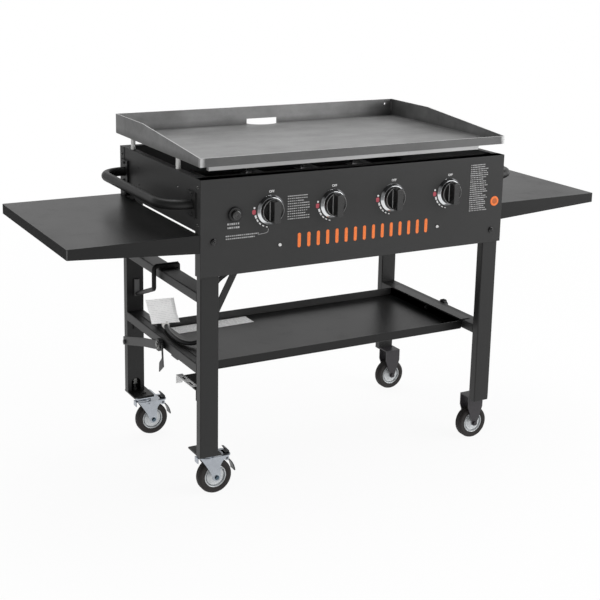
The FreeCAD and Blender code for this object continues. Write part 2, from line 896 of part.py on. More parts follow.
def make_handle():
    """The left handle; the right one is its mirror image."""
    plate_face = -box_half_width - handle_plate_thickness
    reach_x = -box_half_width - handle_reach
    route = [Vector(plate_face, handle_y[0], handle_z), Vector(reach_x, handle_y[0], handle_z),
             Vector(reach_x, handle_y[1], handle_z), Vector(plate_face, handle_y[1], handle_z)]
    outer = pipe(route, [handle_bend, handle_bend], handle_tube_radius)
    inner = pipe(route, [handle_bend, handle_bend], handle_tube_radius - handle_tube_wall)
    tube = outer.cut(inner)
    plates = [box(plate_face, -side_outer, y - handle_plate_width / 2,
                  y + handle_plate_width / 2, handle_z - handle_plate_height / 2,
                  handle_z + handle_plate_height / 2) for y in handle_y]
    over_returns = [box(-box_half_width, -side_outer + past, box_front - past,
                        box_front + corner_return + moving_gap, panel_bottom, box_top),
                    box(-box_half_width, -side_outer + past, box_back - corner_return - moving_gap,
                        box_back + past, panel_bottom, box_top)]
    return cut(union([tube] + plates), over_returns + handle_bolt_holes())


def make_shelf():
    """The left shelf, one folded sheet open below; the right one is its mirror image."""
    inner_x = -box_half_width
    outer_x = inner_x - shelf_reach
    front = box_front + shelf_end_inset
    back = box_back - shelf_end_inset
    outline = [(outer_x, shelf_top), (inner_x, shelf_top),
               (inner_x, shelf_top - shelf_inner_flange),
               (outer_x, shelf_top - shelf_outer_flange)]
    block = plate_xz(outline, front, back)
    outer_corners = [edge for edge in block.Edges
                     if edge.BoundBox.XMax < outer_x + 1 and edge.BoundBox.YLength < 1]
    block = block.makeFillet(2 * sheet, outer_corners)
    hollow = box(outer_x + sheet, inner_x - sheet, front + sheet, back - sheet,
                 shelf_top - 2 * shelf_inner_flange, shelf_top - sheet)
    return cut(block, [hollow] + shelf_rivet_holes())


# Legs, crossbars and stay

def leg_tube(x0, y0, top):
    outer = box(x0, x0 + leg_width, y0, y0 + leg_depth, leg_bottom, top)
    inner = box(x0 + tube_wall, x0 + leg_width - tube_wall, y0 + tube_wall,
                y0 + leg_depth - tube_wall, leg_bottom - past, top + past)
    return cut(outer, [inner])


def leg_window(y0, y1):
    """The oval window near a left leg's foot, through one wall, that shows the foot bolt."""
    x = -leg_half_span + leg_width / 2
    half = leg_window_width / 2
    top = leg_bottom + leg_window_height
    return union([box(x - half, x + half, y0, y1, leg_bottom - past, top - half),
                  rod_y(x, y0, y1, top - half, half)])


def make_left_front_leg():
    tube = leg_tube(-leg_half_span, front_leg_y, left_pivot_z + leg_above_pivot)
    stay_hole = rod_y(stay_foot[0], front_leg_back - 2 * tube_wall, front_leg_back + past,
                      stay_foot[1], bolt_radius + hole_play)
    window = leg_window(front_leg_back - 2 * tube_wall, front_leg_back + past)
    return cut(tube, pivot_holes() + [stay_hole, window])


def make_left_rear_leg():
    tube = leg_tube(-leg_half_span, rear_leg_y, left_pivot_z + leg_above_pivot)
    upper_x = -leg_half_span + hanger_tab_inset
    upper_tab = box(upper_x, upper_x + hanger_tab_width, rear_leg_y - hanger_tab_thickness,
                    rear_leg_y, hanger_tab_z[0], hanger_tab_z[1])
    lower_x = -leg_half_span + lower_tab_inset
    lower_tab = box(lower_x, lower_x + lower_tab_width, rear_leg_y - hanger_tab_thickness,
                    rear_leg_y, left_lower_bar_z - lower_tab_height, left_lower_bar_z)
    window = leg_window(rear_leg_y - past, rear_leg_y + 2 * tube_wall)
    return union([cut(tube, pivot_holes() + [window, bow_bolt_hole()]), upper_tab, lower_tab])


def make_right_leg(y0):
    tube = leg_tube(leg_inner_x, y0, right_pivot_z + leg_above_pivot)
    return cut(tube, pivot_holes())


def crossbar(x0, z0):
    outer = box(x0, x0 + leg_width, front_leg_back, rear_leg_y, z0, z0 + crossbar_height)
    inner = box(x0 + tube_wall, x0 + leg_width - tube_wall, front_leg_back - past, rear_leg_y + past,
                z0 + tube_wall, z0 + crossbar_height - tube_wall)
    return cut(outer, [inner])


def make_crossbars():
    lower_left = crossbar(-leg_half_span, left_lower_bar_z)
    tab_x = -leg_half_span + bar_tab_inset
    tab = box(tab_x, tab_x + bar_tab_width, bar_tab_y[0], bar_tab_y[1],
              left_lower_bar_z - bar_tab_height, left_lower_bar_z)
    lower_left = cut(union([lower_left, tab]), [hand_screw_hole(-1)])
    right = cut(crossbar(leg_inner_x, right_bar_z), [hand_screw_hole(1)])
    return [crossbar(-leg_half_span, left_upper_bar_z), lower_left, right]


def make_leg_stay():
    y0 = front_leg_back
    y1 = front_leg_back + stay_thickness
    foot = Vector(stay_foot[0], 0, stay_foot[1])
    head = Vector(stay_head[0], 0, stay_head[1])
    along = (head - foot).normalize()
    across = Vector(along.z, 0, -along.x) * (stay_width / 2)
    corners = [foot + across, head + across, head - across, foot - across]
    bar = union([
        plate_xz([(point.x, point.z) for point in corners], y0, y1),
        rod_y(foot.x, y0, y1, foot.z, stay_width / 2),
        rod_y(head.x, y0, y1, head.z, stay_width / 2)])
    holes = [rod_y(foot.x, y0 - past, y1 + past, foot.z, bolt_radius + hole_play),
             rod_y(head.x, y0 - past, y1 + past, head.z, stay_stud_radius + hole_play)]
    return cut(bar, holes)


# Bottom tray and the hand screws that hold it

def hand_screw_hole(side):
    y = wing_screw_y if side < 0 else tray_knob_y
    z = wing_screw_z if side < 0 else tray_knob_z
    return rod_x(side * (tray_half_length - 2 * tray_nut_length - hand_screw_tip),
                 side * (leg_half_span + 2 * bow_thickness), y, z,
                 hand_screw_radius + running_play)


def make_bottom_tray():
    """The folded pan, its two welded ends with their lips, and the hand screws' weld nuts."""
    rail_top = tray_bottom + tray_rail_height
    inner_end = tray_half_length - sheet
    pan = union([
        box(-inner_end, inner_end, tray_front, tray_back, tray_bottom, tray_bottom + sheet),
        box(-inner_end, inner_end, tray_front, tray_front + sheet, tray_bottom, rail_top),
        box(-inner_end, inner_end, tray_back - sheet, tray_back, tray_bottom, rail_top)])
    ends = []
    for side, bar_z in ((-1, left_lower_bar_z), (1, right_bar_z)):
        lip = bar_z + crossbar_height
        ends.append(union([
            box(side * inner_end, side * tray_half_length, tray_front, tray_back, tray_bottom,
                lip + sheet),
            box(side * tray_half_length, side * (tray_half_length + tray_lip), tray_front,
                tray_back, lip, lip + sheet)]))
    nuts = []
    for side, y, z in ((-1, wing_screw_y, wing_screw_z), (1, tray_knob_y, tray_knob_z)):
        nuts.append(rod_x(side * (inner_end - tray_nut_length), side * inner_end, y, z,
                          tray_nut_radius))
    holes = [hand_screw_hole(-1), hand_screw_hole(1)]
    return [pan] + [cut(piece, holes) for piece in ends + nuts]


def hand_screw(side, seat_x, y, z):
    knob = rod_x(seat_x, seat_x + side * hand_knob_depth, y, z, hand_knob_radius)
    flutes = []
    for index in range(hand_knob_flutes):
        angle = 2 * math.pi * index / hand_knob_flutes
        reach = hand_knob_radius + hand_knob_flute_radius / 2
        flutes.append(rod_x(seat_x - past, seat_x + side * hand_knob_depth + side,
                            y + reach * math.cos(angle), z + reach * math.sin(angle),
                            hand_knob_flute_radius))
    tip = side * (tray_half_length - sheet - tray_nut_length - hand_screw_tip)
    shaft = rod_x(tip, seat_x + side, y, z, hand_screw_radius)
    return union([cut(knob, flutes), shaft])


def make_tray_knob():
    return hand_screw(1, leg_half_span + moving_gap, tray_knob_y, tray_knob_z)


def make_wing_screw():
    seat_x = -leg_half_span - bow_thickness - moving_gap
    wing_x = seat_x - hand_knob_depth / 2
    outline = [(wing_screw_y + y, wing_screw_z + z) for y, z in wing_outline]
    wing = plate_yz(outline, wing_x - wing_thickness, wing_x)
    return union([hand_screw(-1, seat_x, wing_screw_y, wing_screw_z), wing])


# Bottle bow, hanger and bracket on the left side

def bow_bolt_hole():
    y = rear_leg_y + leg_depth / 2
    return rod_x(-leg_half_span - 2 * bow_thickness, -leg_half_span + 2 * tube_wall, y,
                 bow_bolt_z, bolt_radius + hole_play)


def make_bottle_bow():
    centre_line = [(rear_leg_back, bow_bolt_z),
                   (rear_leg_y - bow_straight_past_leg, bow_straight_end_z)]
    centre_line += list(bow_middle) + [(wing_screw_y, wing_screw_z)]
    upper = [(y, z + bow_height / 2) for y, z in centre_line]
    lower = [(y, z - bow_height / 2) for y, z in reversed(centre_line)]
    x0 = -leg_half_span - bow_thickness
    strip = union([plate_yz(upper + lower, x0, -leg_half_span),
                   rod_x(x0, -leg_half_span, wing_screw_y, wing_screw_z, bow_height / 2)])
    return cut(strip, [hand_screw_hole(-1), bow_bolt_hole()])


def make_bottle_hanger():
    bar_top = left_upper_bar_z + crossbar_height
    top_z = bar_top + hanger_pad_thickness + hanger_radius
    outer_x = -leg_half_span - hanger_side_gap - hanger_radius
    inner_x = -leg_half_span + hanger_inner_reach
    foot = Vector(-leg_half_span + hanger_foot_inset,
                  rear_leg_y - hanger_tab_thickness - hanger_foot_gap, hanger_foot_z)
    route = [Vector(inner_x, hanger_y, top_z), Vector(outer_x, hanger_y, top_z),
             Vector(outer_x, hanger_y, hanger_drop_z), foot]
    pad = box(-leg_half_span + tube_wall, inner_x, hanger_y - hanger_radius,
              hanger_y + hanger_radius, bar_top, top_z)
    return union([pipe(route, [hanger_bend] * 2, hanger_radius), pad])


def make_leg_bracket():
    x0 = -leg_half_span
    x1 = x0 + leg_width
    return union([
        box(x0, x1, front_leg_back, front_leg_back + bracket_length, bracket_z,
            bracket_z + bracket_thickness),
        box(x0, x1, front_leg_back, front_leg_back + bracket_thickness,
            bracket_z - bracket_flange, bracket_z)])


def make_slotted_clip():
    bottom = bracket_z + bracket_thickness
    top = bottom + clip_thickness
    x0 = -leg_half_span - clip_overhang
    x1 = x0 + clip_width
    y0 = front_leg_back + clip_leg_gap
    y1 = y0 + clip_length
    strip = union([
        box(x0, x1, y0, y1, bottom, top),
        box(x0, x1, y1 - clip_thickness, y1, bottom - clip_tab_drop, top)])
    x = (x0 + x1) / 2
    slots = []
    for share in clip_slot_shares:
        y = y0 + share * clip_length
        slots.append(box(x - clip_slot_width / 2, x + clip_slot_width / 2,
                         y - clip_slot_length / 2, y + clip_slot_length / 2, bottom - past,
                         top + past))
    return cut(strip, slots)


# Wheels

def make_tyre(x, y):
    half = tyre_width / 2
    tread = wheel_radius
    shoulder = tyre_shoulder
    profile = [(rim_radius, -rim_half_width), (wheel_radius - shoulder, -half),
               (tread - shoulder / 3, -half + shoulder / 3), (tread, -half + shoulder),
               (tread, half - shoulder), (tread - shoulder / 3, half - shoulder / 3),
               (wheel_radius - shoulder, half), (rim_radius, rim_half_width)]
    return turned_about_y(profile, x, y, wheel_centre_z)


def make_rim(x, y):
    bore = axle_radius + running_play
    step = rim_radius - rim_flange
    profile = [(bore, -hub_half_length), (hub_radius, -hub_half_length),
               (hub_radius, -rim_web_half), (step, -rim_web_half), (step, -rim_half_width),
               (rim_radius, -rim_half_width), (rim_radius, rim_half_width),
               (step, rim_half_width), (step, rim_web_half), (hub_radius, rim_web_half),
               (hub_radius, hub_half_length), (bore, hub_half_length)]
    return turned_about_y(profile, x, y, wheel_centre_z)


def make_axle(x, y, outside):
    """A bolt between two cheeks: outside is the distance from the middle to their faces."""
    return union([
        rod_y(x, y - outside - axle_head_depth, y + outside + axle_head_depth,
              wheel_centre_z, axle_radius),
        hexagon_y(x, y - outside - axle_head_depth, y - outside, wheel_centre_z,
                  axle_head_radius),
        hexagon_y(x, y + outside, y + outside + axle_head_depth, wheel_centre_z,
                  axle_head_radius)])


# Swivel casters

def make_yoke(y):
    wheel_x = swivel_x + caster_trail
    cheek_outline = [(swivel_x + cheek_top_x[0], head_bottom),
                     (swivel_x + cheek_top_x[1], head_bottom)]
    cheek_outline += [(swivel_x + x, head_bottom - drop) for x, drop in cheek_shoulders]
    cheek_outline += [(wheel_x + cheek_hub_radius, wheel_centre_z),
                      (wheel_x - cheek_hub_radius, wheel_centre_z)]
    lever_x = swivel_x + lever_pivot_x
    outside = cheek_inner + cheek_thickness
    cheeks = []
    for side in (-1, 1):
        near = y + side * cheek_inner
        far = y + side * outside
        cheeks.append(plate_xz(cheek_outline, near, far))
        cheeks.append(rod_y(wheel_x, near, far, wheel_centre_z, cheek_hub_radius))
        cheeks.append(box(lever_x - lever_ear_half, lever_x + lever_ear_half, near, far,
                          lever_pivot_z - lever_ear_half, head_bottom))
    head = box(swivel_x + head_x[0], swivel_x + head_x[1], y - head_half_width,
               y + head_half_width, head_bottom, head_top)
    front_corners = [edge for edge in head.Edges if edge.BoundBox.ZLength > head_thickness / 2
                     and edge.BoundBox.XMin > swivel_x]
    head = head.makeFillet(head_half_width / 2, front_corners)
    race = rod_z(swivel_x, y, head_top, race_top, race_radius)
    tail = box(swivel_x + head_x[0] - head_thickness, swivel_x + head_x[0],
               y - lever_half_width, y + lever_half_width, head_bottom - head_tail_drop,
               head_top)
    kingpin_hole = rod_z(swivel_x, y, head_bottom - past, race_top + past,
                         kingpin_radius + running_play)
    axle_hole = rod_y(wheel_x, y - outside - past, y + outside + past, wheel_centre_z,
                      axle_radius + running_play)
    lever_hole = rod_y(lever_x, y - outside - past, y + outside + past, lever_pivot_z,
                       lever_pin_radius + running_play)
    lever_slot = box(lever_x - lever_slot_start, swivel_x + head_x[1] + past,
                     y - lever_half_width - running_play - moving_gap,
                     y + lever_half_width + running_play + moving_gap,
                     head_bottom - past, head_top + past)
    frame = cut(union([head, race, tail] + cheeks),
                [kingpin_hole, axle_hole, lever_hole, lever_slot])
    return [frame, make_axle(wheel_x, y, outside)]


def make_brake_lever(y):
    """Pivot pin, horn above the yoke's head and a blade over the tyre, in one piece."""
    lever_x = swivel_x + lever_pivot_x
    wheel_x = swivel_x + caster_trail
    outside = cheek_inner + cheek_thickness
    horn = [(lever_x + x, lever_pivot_z + z) for x, z in lever_horn]
    inner_radius = wheel_radius + lever_tyre_gap
    outer_radius = inner_radius + lever_thickness
    angles = [math.radians(angle) for angle in lever_blade_angles]
    blade = [(wheel_x + inner_radius * math.cos(angle),
              wheel_centre_z + inner_radius * math.sin(angle)) for angle in angles]
    blade += [(wheel_x + outer_radius * math.cos(angle),
               wheel_centre_z + outer_radius * math.sin(angle)) for angle in reversed(angles)]
    return union([
        rod_y(lever_x, y - lever_half_width, y + lever_half_width, lever_pivot_z,
              lever_boss_radius),
        rod_y(lever_x, y - outside, y + outside, lever_pivot_z, lever_pin_radius),
        plate_xz(horn, y - lever_half_width + lever_horn_inset,
                 y + lever_half_width - lever_horn_inset),
        plate_xz(blade, y - lever_half_width, y + lever_half_width)])


def make_top_plate(y):
    plate = rounded_plate_z(swivel_x, y, top_plate_side, top_plate_corner, top_plate_bottom,
                            foot_plate_bottom)
    kingpin = union([
        rod_z(swivel_x, y, head_bottom - moving_gap - head_thickness, leg_bottom,
              kingpin_radius),
        rod_z(swivel_x, y, head_bottom - moving_gap - head_thickness,
              head_bottom - moving_gap, kingpin_flange_radius),
        rod_z(swivel_x, y, leg_bottom, leg_bottom + kingpin_head_height,
              kingpin_head_radius)])
    return union([plate, kingpin])


def make_foot_plate(y0, swivel_y, bolt_y):
    x0 = -leg_half_span
    plate = box(x0, x0 + foot_plate_width, y0, y0 + foot_plate_depth,
                foot_plate_bottom, leg_bottom)
    kingpin_hole = rod_z(swivel_x, swivel_y, foot_plate_bottom - past, leg_bottom + past,
                         kingpin_radius + hole_play)
    bolt_hole = rod_z(-leg_half_span + leg_width / 2, bolt_y, foot_plate_bottom - past,
                      leg_bottom + past, foot_bolt_radius + hole_play)
    return cut(plate, [kingpin_hole, bolt_hole])


def make_foot_plates():
    front_y0 = front_leg_y
    rear_y0 = rear_leg_back - foot_plate_depth
    return [make_foot_plate(front_y0, swivel_front_y, front_leg_y + leg_depth / 2),
            make_foot_plate(rear_y0, swivel_rear_y, rear_leg_y + leg_depth / 2)]


# Fixed casters

def make_fixed_fork(y0):
    y1 = y0 + fork_depth
    top = leg_bottom + fork_overlap
    x = fixed_wheel_x
    tip = fork_tip_radius
    outline = [(fork_x[0], top), (fork_x[1], top), (fork_x[1], top - fork_shoulder),
               (x + tip, wheel_centre_z), (x - tip, wheel_centre_z),
               (fork_x[0], top - fork_shoulder)]
    pieces = [box(fork_x[0], fork_x[1], y0, y1, top - fork_sheet, top)]
    for near, far in ((y0, y0 + fork_sheet), (y1 - fork_sheet, y1)):
        pieces.append(plate_xz(outline, near, far))
        pieces.append(rod_y(x, near, far, wheel_centre_z, tip))
    axle_hole = rod_y(x, y0 - past, y1 + past, wheel_centre_z, axle_radius + running_play)
    middle = (y0 + y1) / 2
    return [cut(union(pieces), [axle_hole]), make_axle(x, middle, fork_depth / 2)]


# Grease cup and its rails

def cup_top():
    return box_top - cup_rim_drop


def make_grease_cup():
    x0 = slot_centre_x - cup_half_width
    x1 = slot_centre_x + cup_half_width
    y0 = box_back + cup_back_gap
    y1 = y0 + cup_depth_y
    top = cup_top()
    bottom = top - cup_height
    outer = union([
        box(x0, x1, y0, y1, bottom, top),
        box(x0 - cup_flange, x1 + cup_flange, y0, y1, top - cup_flange_thickness, top)])
    hollow = box(x0 + cup_wall, x1 - cup_wall, y0 + cup_wall, y1 - cup_wall,
                 bottom + cup_wall, top + past)
    return cut(outer, [hollow])


def make_cup_rails():
    rails = []
    top = cup_top()
    flange_bottom = top - cup_flange_thickness
    for side in (-1, 1):
        wall = slot_centre_x + side * (cup_half_width + 2 * rail_play)
        edge = slot_centre_x + side * (cup_half_width + cup_flange + rail_play)
        y0 = box_back
        y1 = box_back + cup_back_gap + cup_depth_y
        low = flange_bottom - moving_gap
        high = top + rail_play
        rails.append(union([
            box(wall, edge + side * rail_sheet, y0, y1, low - rail_sheet, low),
            box(edge, edge + side * rail_sheet, y0, y1, low - rail_sheet, high + rail_sheet),
            box(wall, edge + side * rail_sheet, y0, y1, high, high + rail_sheet)]))
    return rails


# Regulator, hose and tag

def make_regulator():
    regulator_x, outlet_y, outlet_z = hose_route[0]
    regulator_y = outlet_y + regulator_setback
    rest = left_lower_bar_z + crossbar_height + sheet
    centre_z = rest + regulator_nut_height - regulator_nut_overlap + regulator_radius
    y0 = regulator_y - regulator_thickness / 2
    y1 = regulator_y + regulator_thickness / 2
    outlet_start = Vector(*hose_route[0])
    outlet_run = (Vector(*hose_route[1]) - outlet_start).normalize()
    outlet_back = outlet_start - outlet_run * regulator_outlet_length
    body = turned_about_y([(0, y0), (regulator_front_radius, y0),
                           (regulator_radius, y0 + regulator_front_depth),
                           (regulator_radius, y1 - regulator_back_depth),
                           (regulator_back_radius, y1), (0, y1)],
                          regulator_x, 0, centre_z)
    return union([
        body,
        rod_z(regulator_x, regulator_y, rest, rest + regulator_nut_height,
              regulator_nut_radius),
        Part.makeCylinder(regulator_outlet_radius, regulator_outlet_length, outlet_back,
                          outlet_run)])


def make_hose():
    """Straight runs joined by arcs of 0.45 of the shorter run over the tangent of half a turn."""
    end = Vector(hose_inlet_x, manifold_y, hose_inlet_bottom)
    points = [Vector(*point) for point in hose_route] + [end]
    radii = []
    for before, corner, after in zip(points, points[1:], points[2:]):
        arriving = corner - before
        leaving = after - corner
        shorter = min(arriving.Length, leaving.Length)
        radii.append(bend_share * shorter / math.tan(arriving.getAngle(leaving) / 2))
    path = rounded_path(points, radii)
    tube = pipe(points, radii, hose_radius)
    expected = path.Length * math.pi * hose_radius ** 2
    print("hose length", round(path.Length), "radii", [round(radius) for radius in radii],
          "volume share", round(tube.Volume / expected, 4))
    return tube


def make_tag():
    """The paper, the ring that ties it round the hose and the string between them."""
    corner = Vector(*tag_corner)
    width = Vector(*tag_width_edge)
    height = Vector(*tag_height_edge)
    through = width.cross(height).normalize() * tag_thickness
    paper = extrude([corner, corner + width, corner + width + height, corner + height], through)
    first = Vector(*hose_route[0])
    second = Vector(*hose_route[1])
    run = (second - first).normalize()
    middle = (first + second) / 2
    inner = hose_radius + moving_gap
    ring_start = middle - run * (tag_tie_length / 2)
    ring = Part.makeCylinder(inner + tag_tie_thickness, tag_tie_length, ring_start, run).cut(
        Part.makeCylinder(inner, tag_tie_length, ring_start, run))
    knot = middle + Vector(0, 0, inner + tag_tie_thickness / 2)
    hem = corner + height + width * tag_string_share + through / 2
    string = Part.makeCylinder(tag_string_radius, (hem - knot).Length, knot, hem - knot)
    return union([paper, ring, string])


# Fasteners

def button_head(x, y, z, outward, head_radius, head_depth, shank_radius, shank_length):
    """A screw with its seat at (x, y, z): head outwards, shank the other way."""
    seat = Vector(x, y, z)
    return union([
        Part.makeCone(head_radius, head_radius * head_taper, head_depth, seat, outward),
        Part.makeCylinder(shank_radius, shank_length, seat, outward * -1)])


def make_panel_screws():
    screws = []
    for side in (-1, 1):
        outward = Vector(side, 0, 0)
        for y, z in corner_screw_places():
            screws.append(button_head(side * box_half_width, y, z, outward, corner_screw_head,
                                      corner_screw_head_depth, screw_radius,
                                      2 * sheet + screw_past_sheet))
        for y, z in handle_bolt_places():
            seat = side * (box_half_width + handle_plate_thickness)
            screws.append(button_head(seat, y, z, outward, handle_bolt_head,
                                      handle_bolt_head_depth, screw_radius,
                                      handle_plate_thickness + 2 * sheet + screw_past_sheet))
    for x in (-panel_screw_x, panel_screw_x):
        screws.append(button_head(x, box_front, panel_screw_z, Vector(0, -1, 0),
                                  panel_screw_head, panel_screw_head_depth, screw_radius,
                                  sheet + screw_past_sheet))
    return screws


def pivot_bolt(x, z, seat, inward, leg_near, leg_far):
    """Bolt with head, nut and spacer along Y; inward is +1 at the front and -1 at the back."""
    outward = Vector(0, -inward, 0)
    nut_end = leg_far + inward * pivot_nut_depth
    bolt = union([
        Part.makeCone(pivot_head_radius, pivot_head_radius * head_taper, pivot_head_depth,
                      Vector(x, seat, z), outward),
        rod_y(x, seat, nut_end + inward * pivot_thread_past_nut, z, bolt_radius),
        hexagon_y(x, leg_far, nut_end, z, pivot_head_radius)])
    panel_face = seat + inward * sheet
    spacer = cut(rod_y(x, panel_face, leg_near, z, pivot_spacer_radius),
                 [rod_y(x, panel_face, leg_near, z, bolt_radius + hole_play)])
    return [bolt, spacer]


def make_frame_bolts():
    pieces = []
    for x, z in pivot_places():
        pieces += pivot_bolt(x, z, box_front, 1, front_leg_y, front_leg_back)
        pieces += pivot_bolt(x, z, box_back, -1, rear_leg_back, rear_leg_y)
    for side in (-1, 1):
        for y, z in shelf_rivet_places():
            seat = side * (box_half_width + sheet)
            head_end = seat + side * rivet_head_depth
            tail_end = side * (side_outer - rivet_tail_depth)
            pieces.append(union([
                rod_x(tail_end, head_end, y, z, shelf_rivet_radius),
                rod_x(seat, head_end, y, z, shelf_rivet_head),
                rod_x(tail_end, side * side_outer, y, z, rivet_tail_radius)]))
    stay_back = front_leg_back + stay_thickness
    pieces.append(union([
        rod_y(stay_foot[0], front_leg_back - 2 * tube_wall, stay_back + stay_nut_depth,
              stay_foot[1], bolt_radius),
        hexagon_y(stay_foot[0], stay_back, stay_back + stay_nut_depth, stay_foot[1],
                  stay_nut_radius)]))
    bow_face = -leg_half_span - bow_thickness
    bolt_y = rear_leg_y + leg_depth / 2
    pieces.append(union([
        rod_x(bow_face - bow_bolt_head_depth, -leg_half_span + 2 * tube_wall, bolt_y,
              bow_bolt_z, bolt_radius),
        rod_x(bow_face - bow_bolt_head_depth, bow_face, bolt_y, bow_bolt_z,
              bow_bolt_head)]))
    for y in (front_leg_y + leg_depth / 2, bolt_y):
        x = -leg_half_span + leg_width / 2
        pieces.append(union([
            rod_z(x, y, foot_plate_bottom, leg_bottom + foot_bolt_length, foot_bolt_radius),
            rod_z(x, y, leg_bottom, leg_bottom + foot_nut_depth, 2 * foot_bolt_radius)]))
    return pieces


# Build every piece and write it

def main():
    os.makedirs("parts", exist_ok=True)
    export("griddle_top", [make_griddle_top()])
    export("griddle_supports", make_griddle_supports())
    export("control_panel", [make_control_panel()])
    side_panel = make_side_panel()
    export("side_panel_left", [side_panel])
    export("side_panel_right", [mirrored(side_panel)])
    export("rear_panel", [make_rear_panel()])
    export("burner_supports", [make_inner_wall(), make_burner_rail()])
    export("burners", [make_burner(x) for x in knob_x])
    export("igniter_electrodes", [make_electrode(x) for x in knob_x])
    export("manifold_pipe", [make_manifold()])
    export("gas_valves", [make_valve(x) for x in knob_x])
    for number, x in enumerate(knob_x, start=1):
        export("valve_plug_%d" % number, [make_valve_plug(x)])
        export("knob_%d" % number, [make_knob(x)])
    export("knob_bezels", [make_bezel(x) for x in knob_x])
    export("igniter_module", make_igniter_module())
    export("igniter_button", [make_igniter_button()])
    handle = make_handle()
    export("handle_left", [handle])
    export("handle_right", [mirrored(handle)])
    shelf = make_shelf()
    export("shelf_left", [shelf])
    export("shelf_right", [mirrored(shelf)])
    export("leg_front_left", [make_left_front_leg()])
    export("leg_rear_left", [make_left_rear_leg()])
    export("leg_front_right", [make_right_leg(front_leg_y)])
    export("leg_rear_right", [make_right_leg(rear_leg_y)])
    export("crossbars", make_crossbars())
    export("leg_stay", [make_leg_stay()])
    export("bottom_tray", make_bottom_tray())
    export("tray_knob", [make_tray_knob()])
    export("wing_screw", [make_wing_screw()])
    export("bottle_bow", [make_bottle_bow()])
    export("bottle_hanger", [make_bottle_hanger()])
    export("leg_bracket", [make_leg_bracket()])
    export("slotted_clip", [make_slotted_clip()])
    export("caster_foot_plates", make_foot_plates())
    swivel_places = (("front_left", swivel_front_y), ("rear_left", swivel_rear_y))
    export("caster_top_plates", [make_top_plate(y) for name, y in swivel_places])
    for name, y in swivel_places:
        wheel_x = swivel_x + caster_trail
        export("yoke_" + name, make_yoke(y))
        export("brake_lever_" + name, [make_brake_lever(y)])
        export("rim_" + name, [make_rim(wheel_x, y)])
        export("tyre_" + name, [make_tyre(wheel_x, y)])
    fork_places = (("front_right", front_leg_back), ("rear_right", rear_leg_y - fork_depth))
    forks = []
    for name, y0 in fork_places:
        middle = y0 + fork_depth / 2
        forks += make_fixed_fork(y0)
        export("rim_" + name, [make_rim(fixed_wheel_x, middle)])
        export("tyre_" + name, [make_tyre(fixed_wheel_x, middle)])
    export("fixed_forks", forks)
    export("grease_cup", [make_grease_cup()])
    export("cup_rails", make_cup_rails())
    export("regulator", [make_regulator()])
    export("gas_hose", [make_hose()])
    export("paper_tag", [make_tag()])
    export("fasteners", make_panel_screws() + make_frame_bolts())


main()
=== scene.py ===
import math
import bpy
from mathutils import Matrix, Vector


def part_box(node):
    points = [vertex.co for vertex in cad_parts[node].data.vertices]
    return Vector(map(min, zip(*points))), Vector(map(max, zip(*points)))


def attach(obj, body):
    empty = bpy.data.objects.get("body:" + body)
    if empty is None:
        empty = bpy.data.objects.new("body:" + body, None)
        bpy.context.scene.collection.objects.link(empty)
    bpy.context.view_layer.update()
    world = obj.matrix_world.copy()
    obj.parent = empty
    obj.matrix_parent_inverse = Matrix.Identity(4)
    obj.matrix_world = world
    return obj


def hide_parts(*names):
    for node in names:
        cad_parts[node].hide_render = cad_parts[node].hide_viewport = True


bl_info = {
    "name": "Outdoor gas griddle station",
    "version": (1, 0, 0),
    "blender": (4, 5, 0),
    "location": "3D View > Sidebar > Griddle",
    "description": "Dresses the gas griddle station with its finishes and its small pieces",
    "category": "Object",
}

import bmesh
import bpy
from bpy.props import FloatProperty, FloatVectorProperty, IntProperty, PointerProperty
from mathutils import Matrix, Vector

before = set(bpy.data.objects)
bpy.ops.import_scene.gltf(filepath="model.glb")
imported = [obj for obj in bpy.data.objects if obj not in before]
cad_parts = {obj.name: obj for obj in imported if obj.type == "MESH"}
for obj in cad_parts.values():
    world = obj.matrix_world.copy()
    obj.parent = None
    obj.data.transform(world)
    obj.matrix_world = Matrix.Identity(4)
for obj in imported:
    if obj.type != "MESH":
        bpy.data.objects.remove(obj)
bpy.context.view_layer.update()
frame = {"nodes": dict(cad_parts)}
NODES = frame["nodes"]


# Sizes and places

def mm(*values):
    """Millimetres to metres; one value gives a number, three give a vector."""
    if len(values) == 1:
        return values[0] / 1000
    return Vector([value / 1000 for value in values])


def centre(node):
    low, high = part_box(node)
    return (low + high) / 2


MERGE = 1e-6
ON_PLANE = 1e-5
FRONT = Vector((0.0, -1.0, 0.0))
BACK = Vector((0.0, 1.0, 0.0))
UP = Vector((0.0, 0.0, 1.0))
ORIGIN = (0.0, 0.0, 0.0)
TOP_LOW, TOP_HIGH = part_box("griddle_top")
LIP_START = TOP_LOW.y + mm(1.2)
PANEL_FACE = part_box("control_panel")[0].y
DIALS = [centre("knob_%d" % number) for number in range(1, 5)]
SPARK = centre("igniter_button")
SWIVELS = ("front_left", "rear_left")
WHEELS = SWIVELS + ("front_right", "rear_right")


# Node trees written as sums

def sum_of(operation, swapped=False):
    """The method that turns a Python sum into one Math node."""
    def method(self, other):
        values = (other, self) if swapped else (self, other)
        return self.sheet.maths(operation, *values)
    return method


class Wire:
    """One output socket of a node tree, which Python sums extend with Math nodes."""

    def __init__(self, sheet, socket):
        self.sheet = sheet
        self.socket = socket

    __add__ = __radd__ = sum_of("ADD")
    __sub__ = sum_of("SUBTRACT")
    __rsub__ = sum_of("SUBTRACT", swapped=True)
    __mul__ = __rmul__ = sum_of("MULTIPLY")
    __truediv__ = sum_of("DIVIDE")
    __pow__ = sum_of("POWER")
    __gt__ = sum_of("GREATER_THAN")
    __lt__ = sum_of("LESS_THAN")


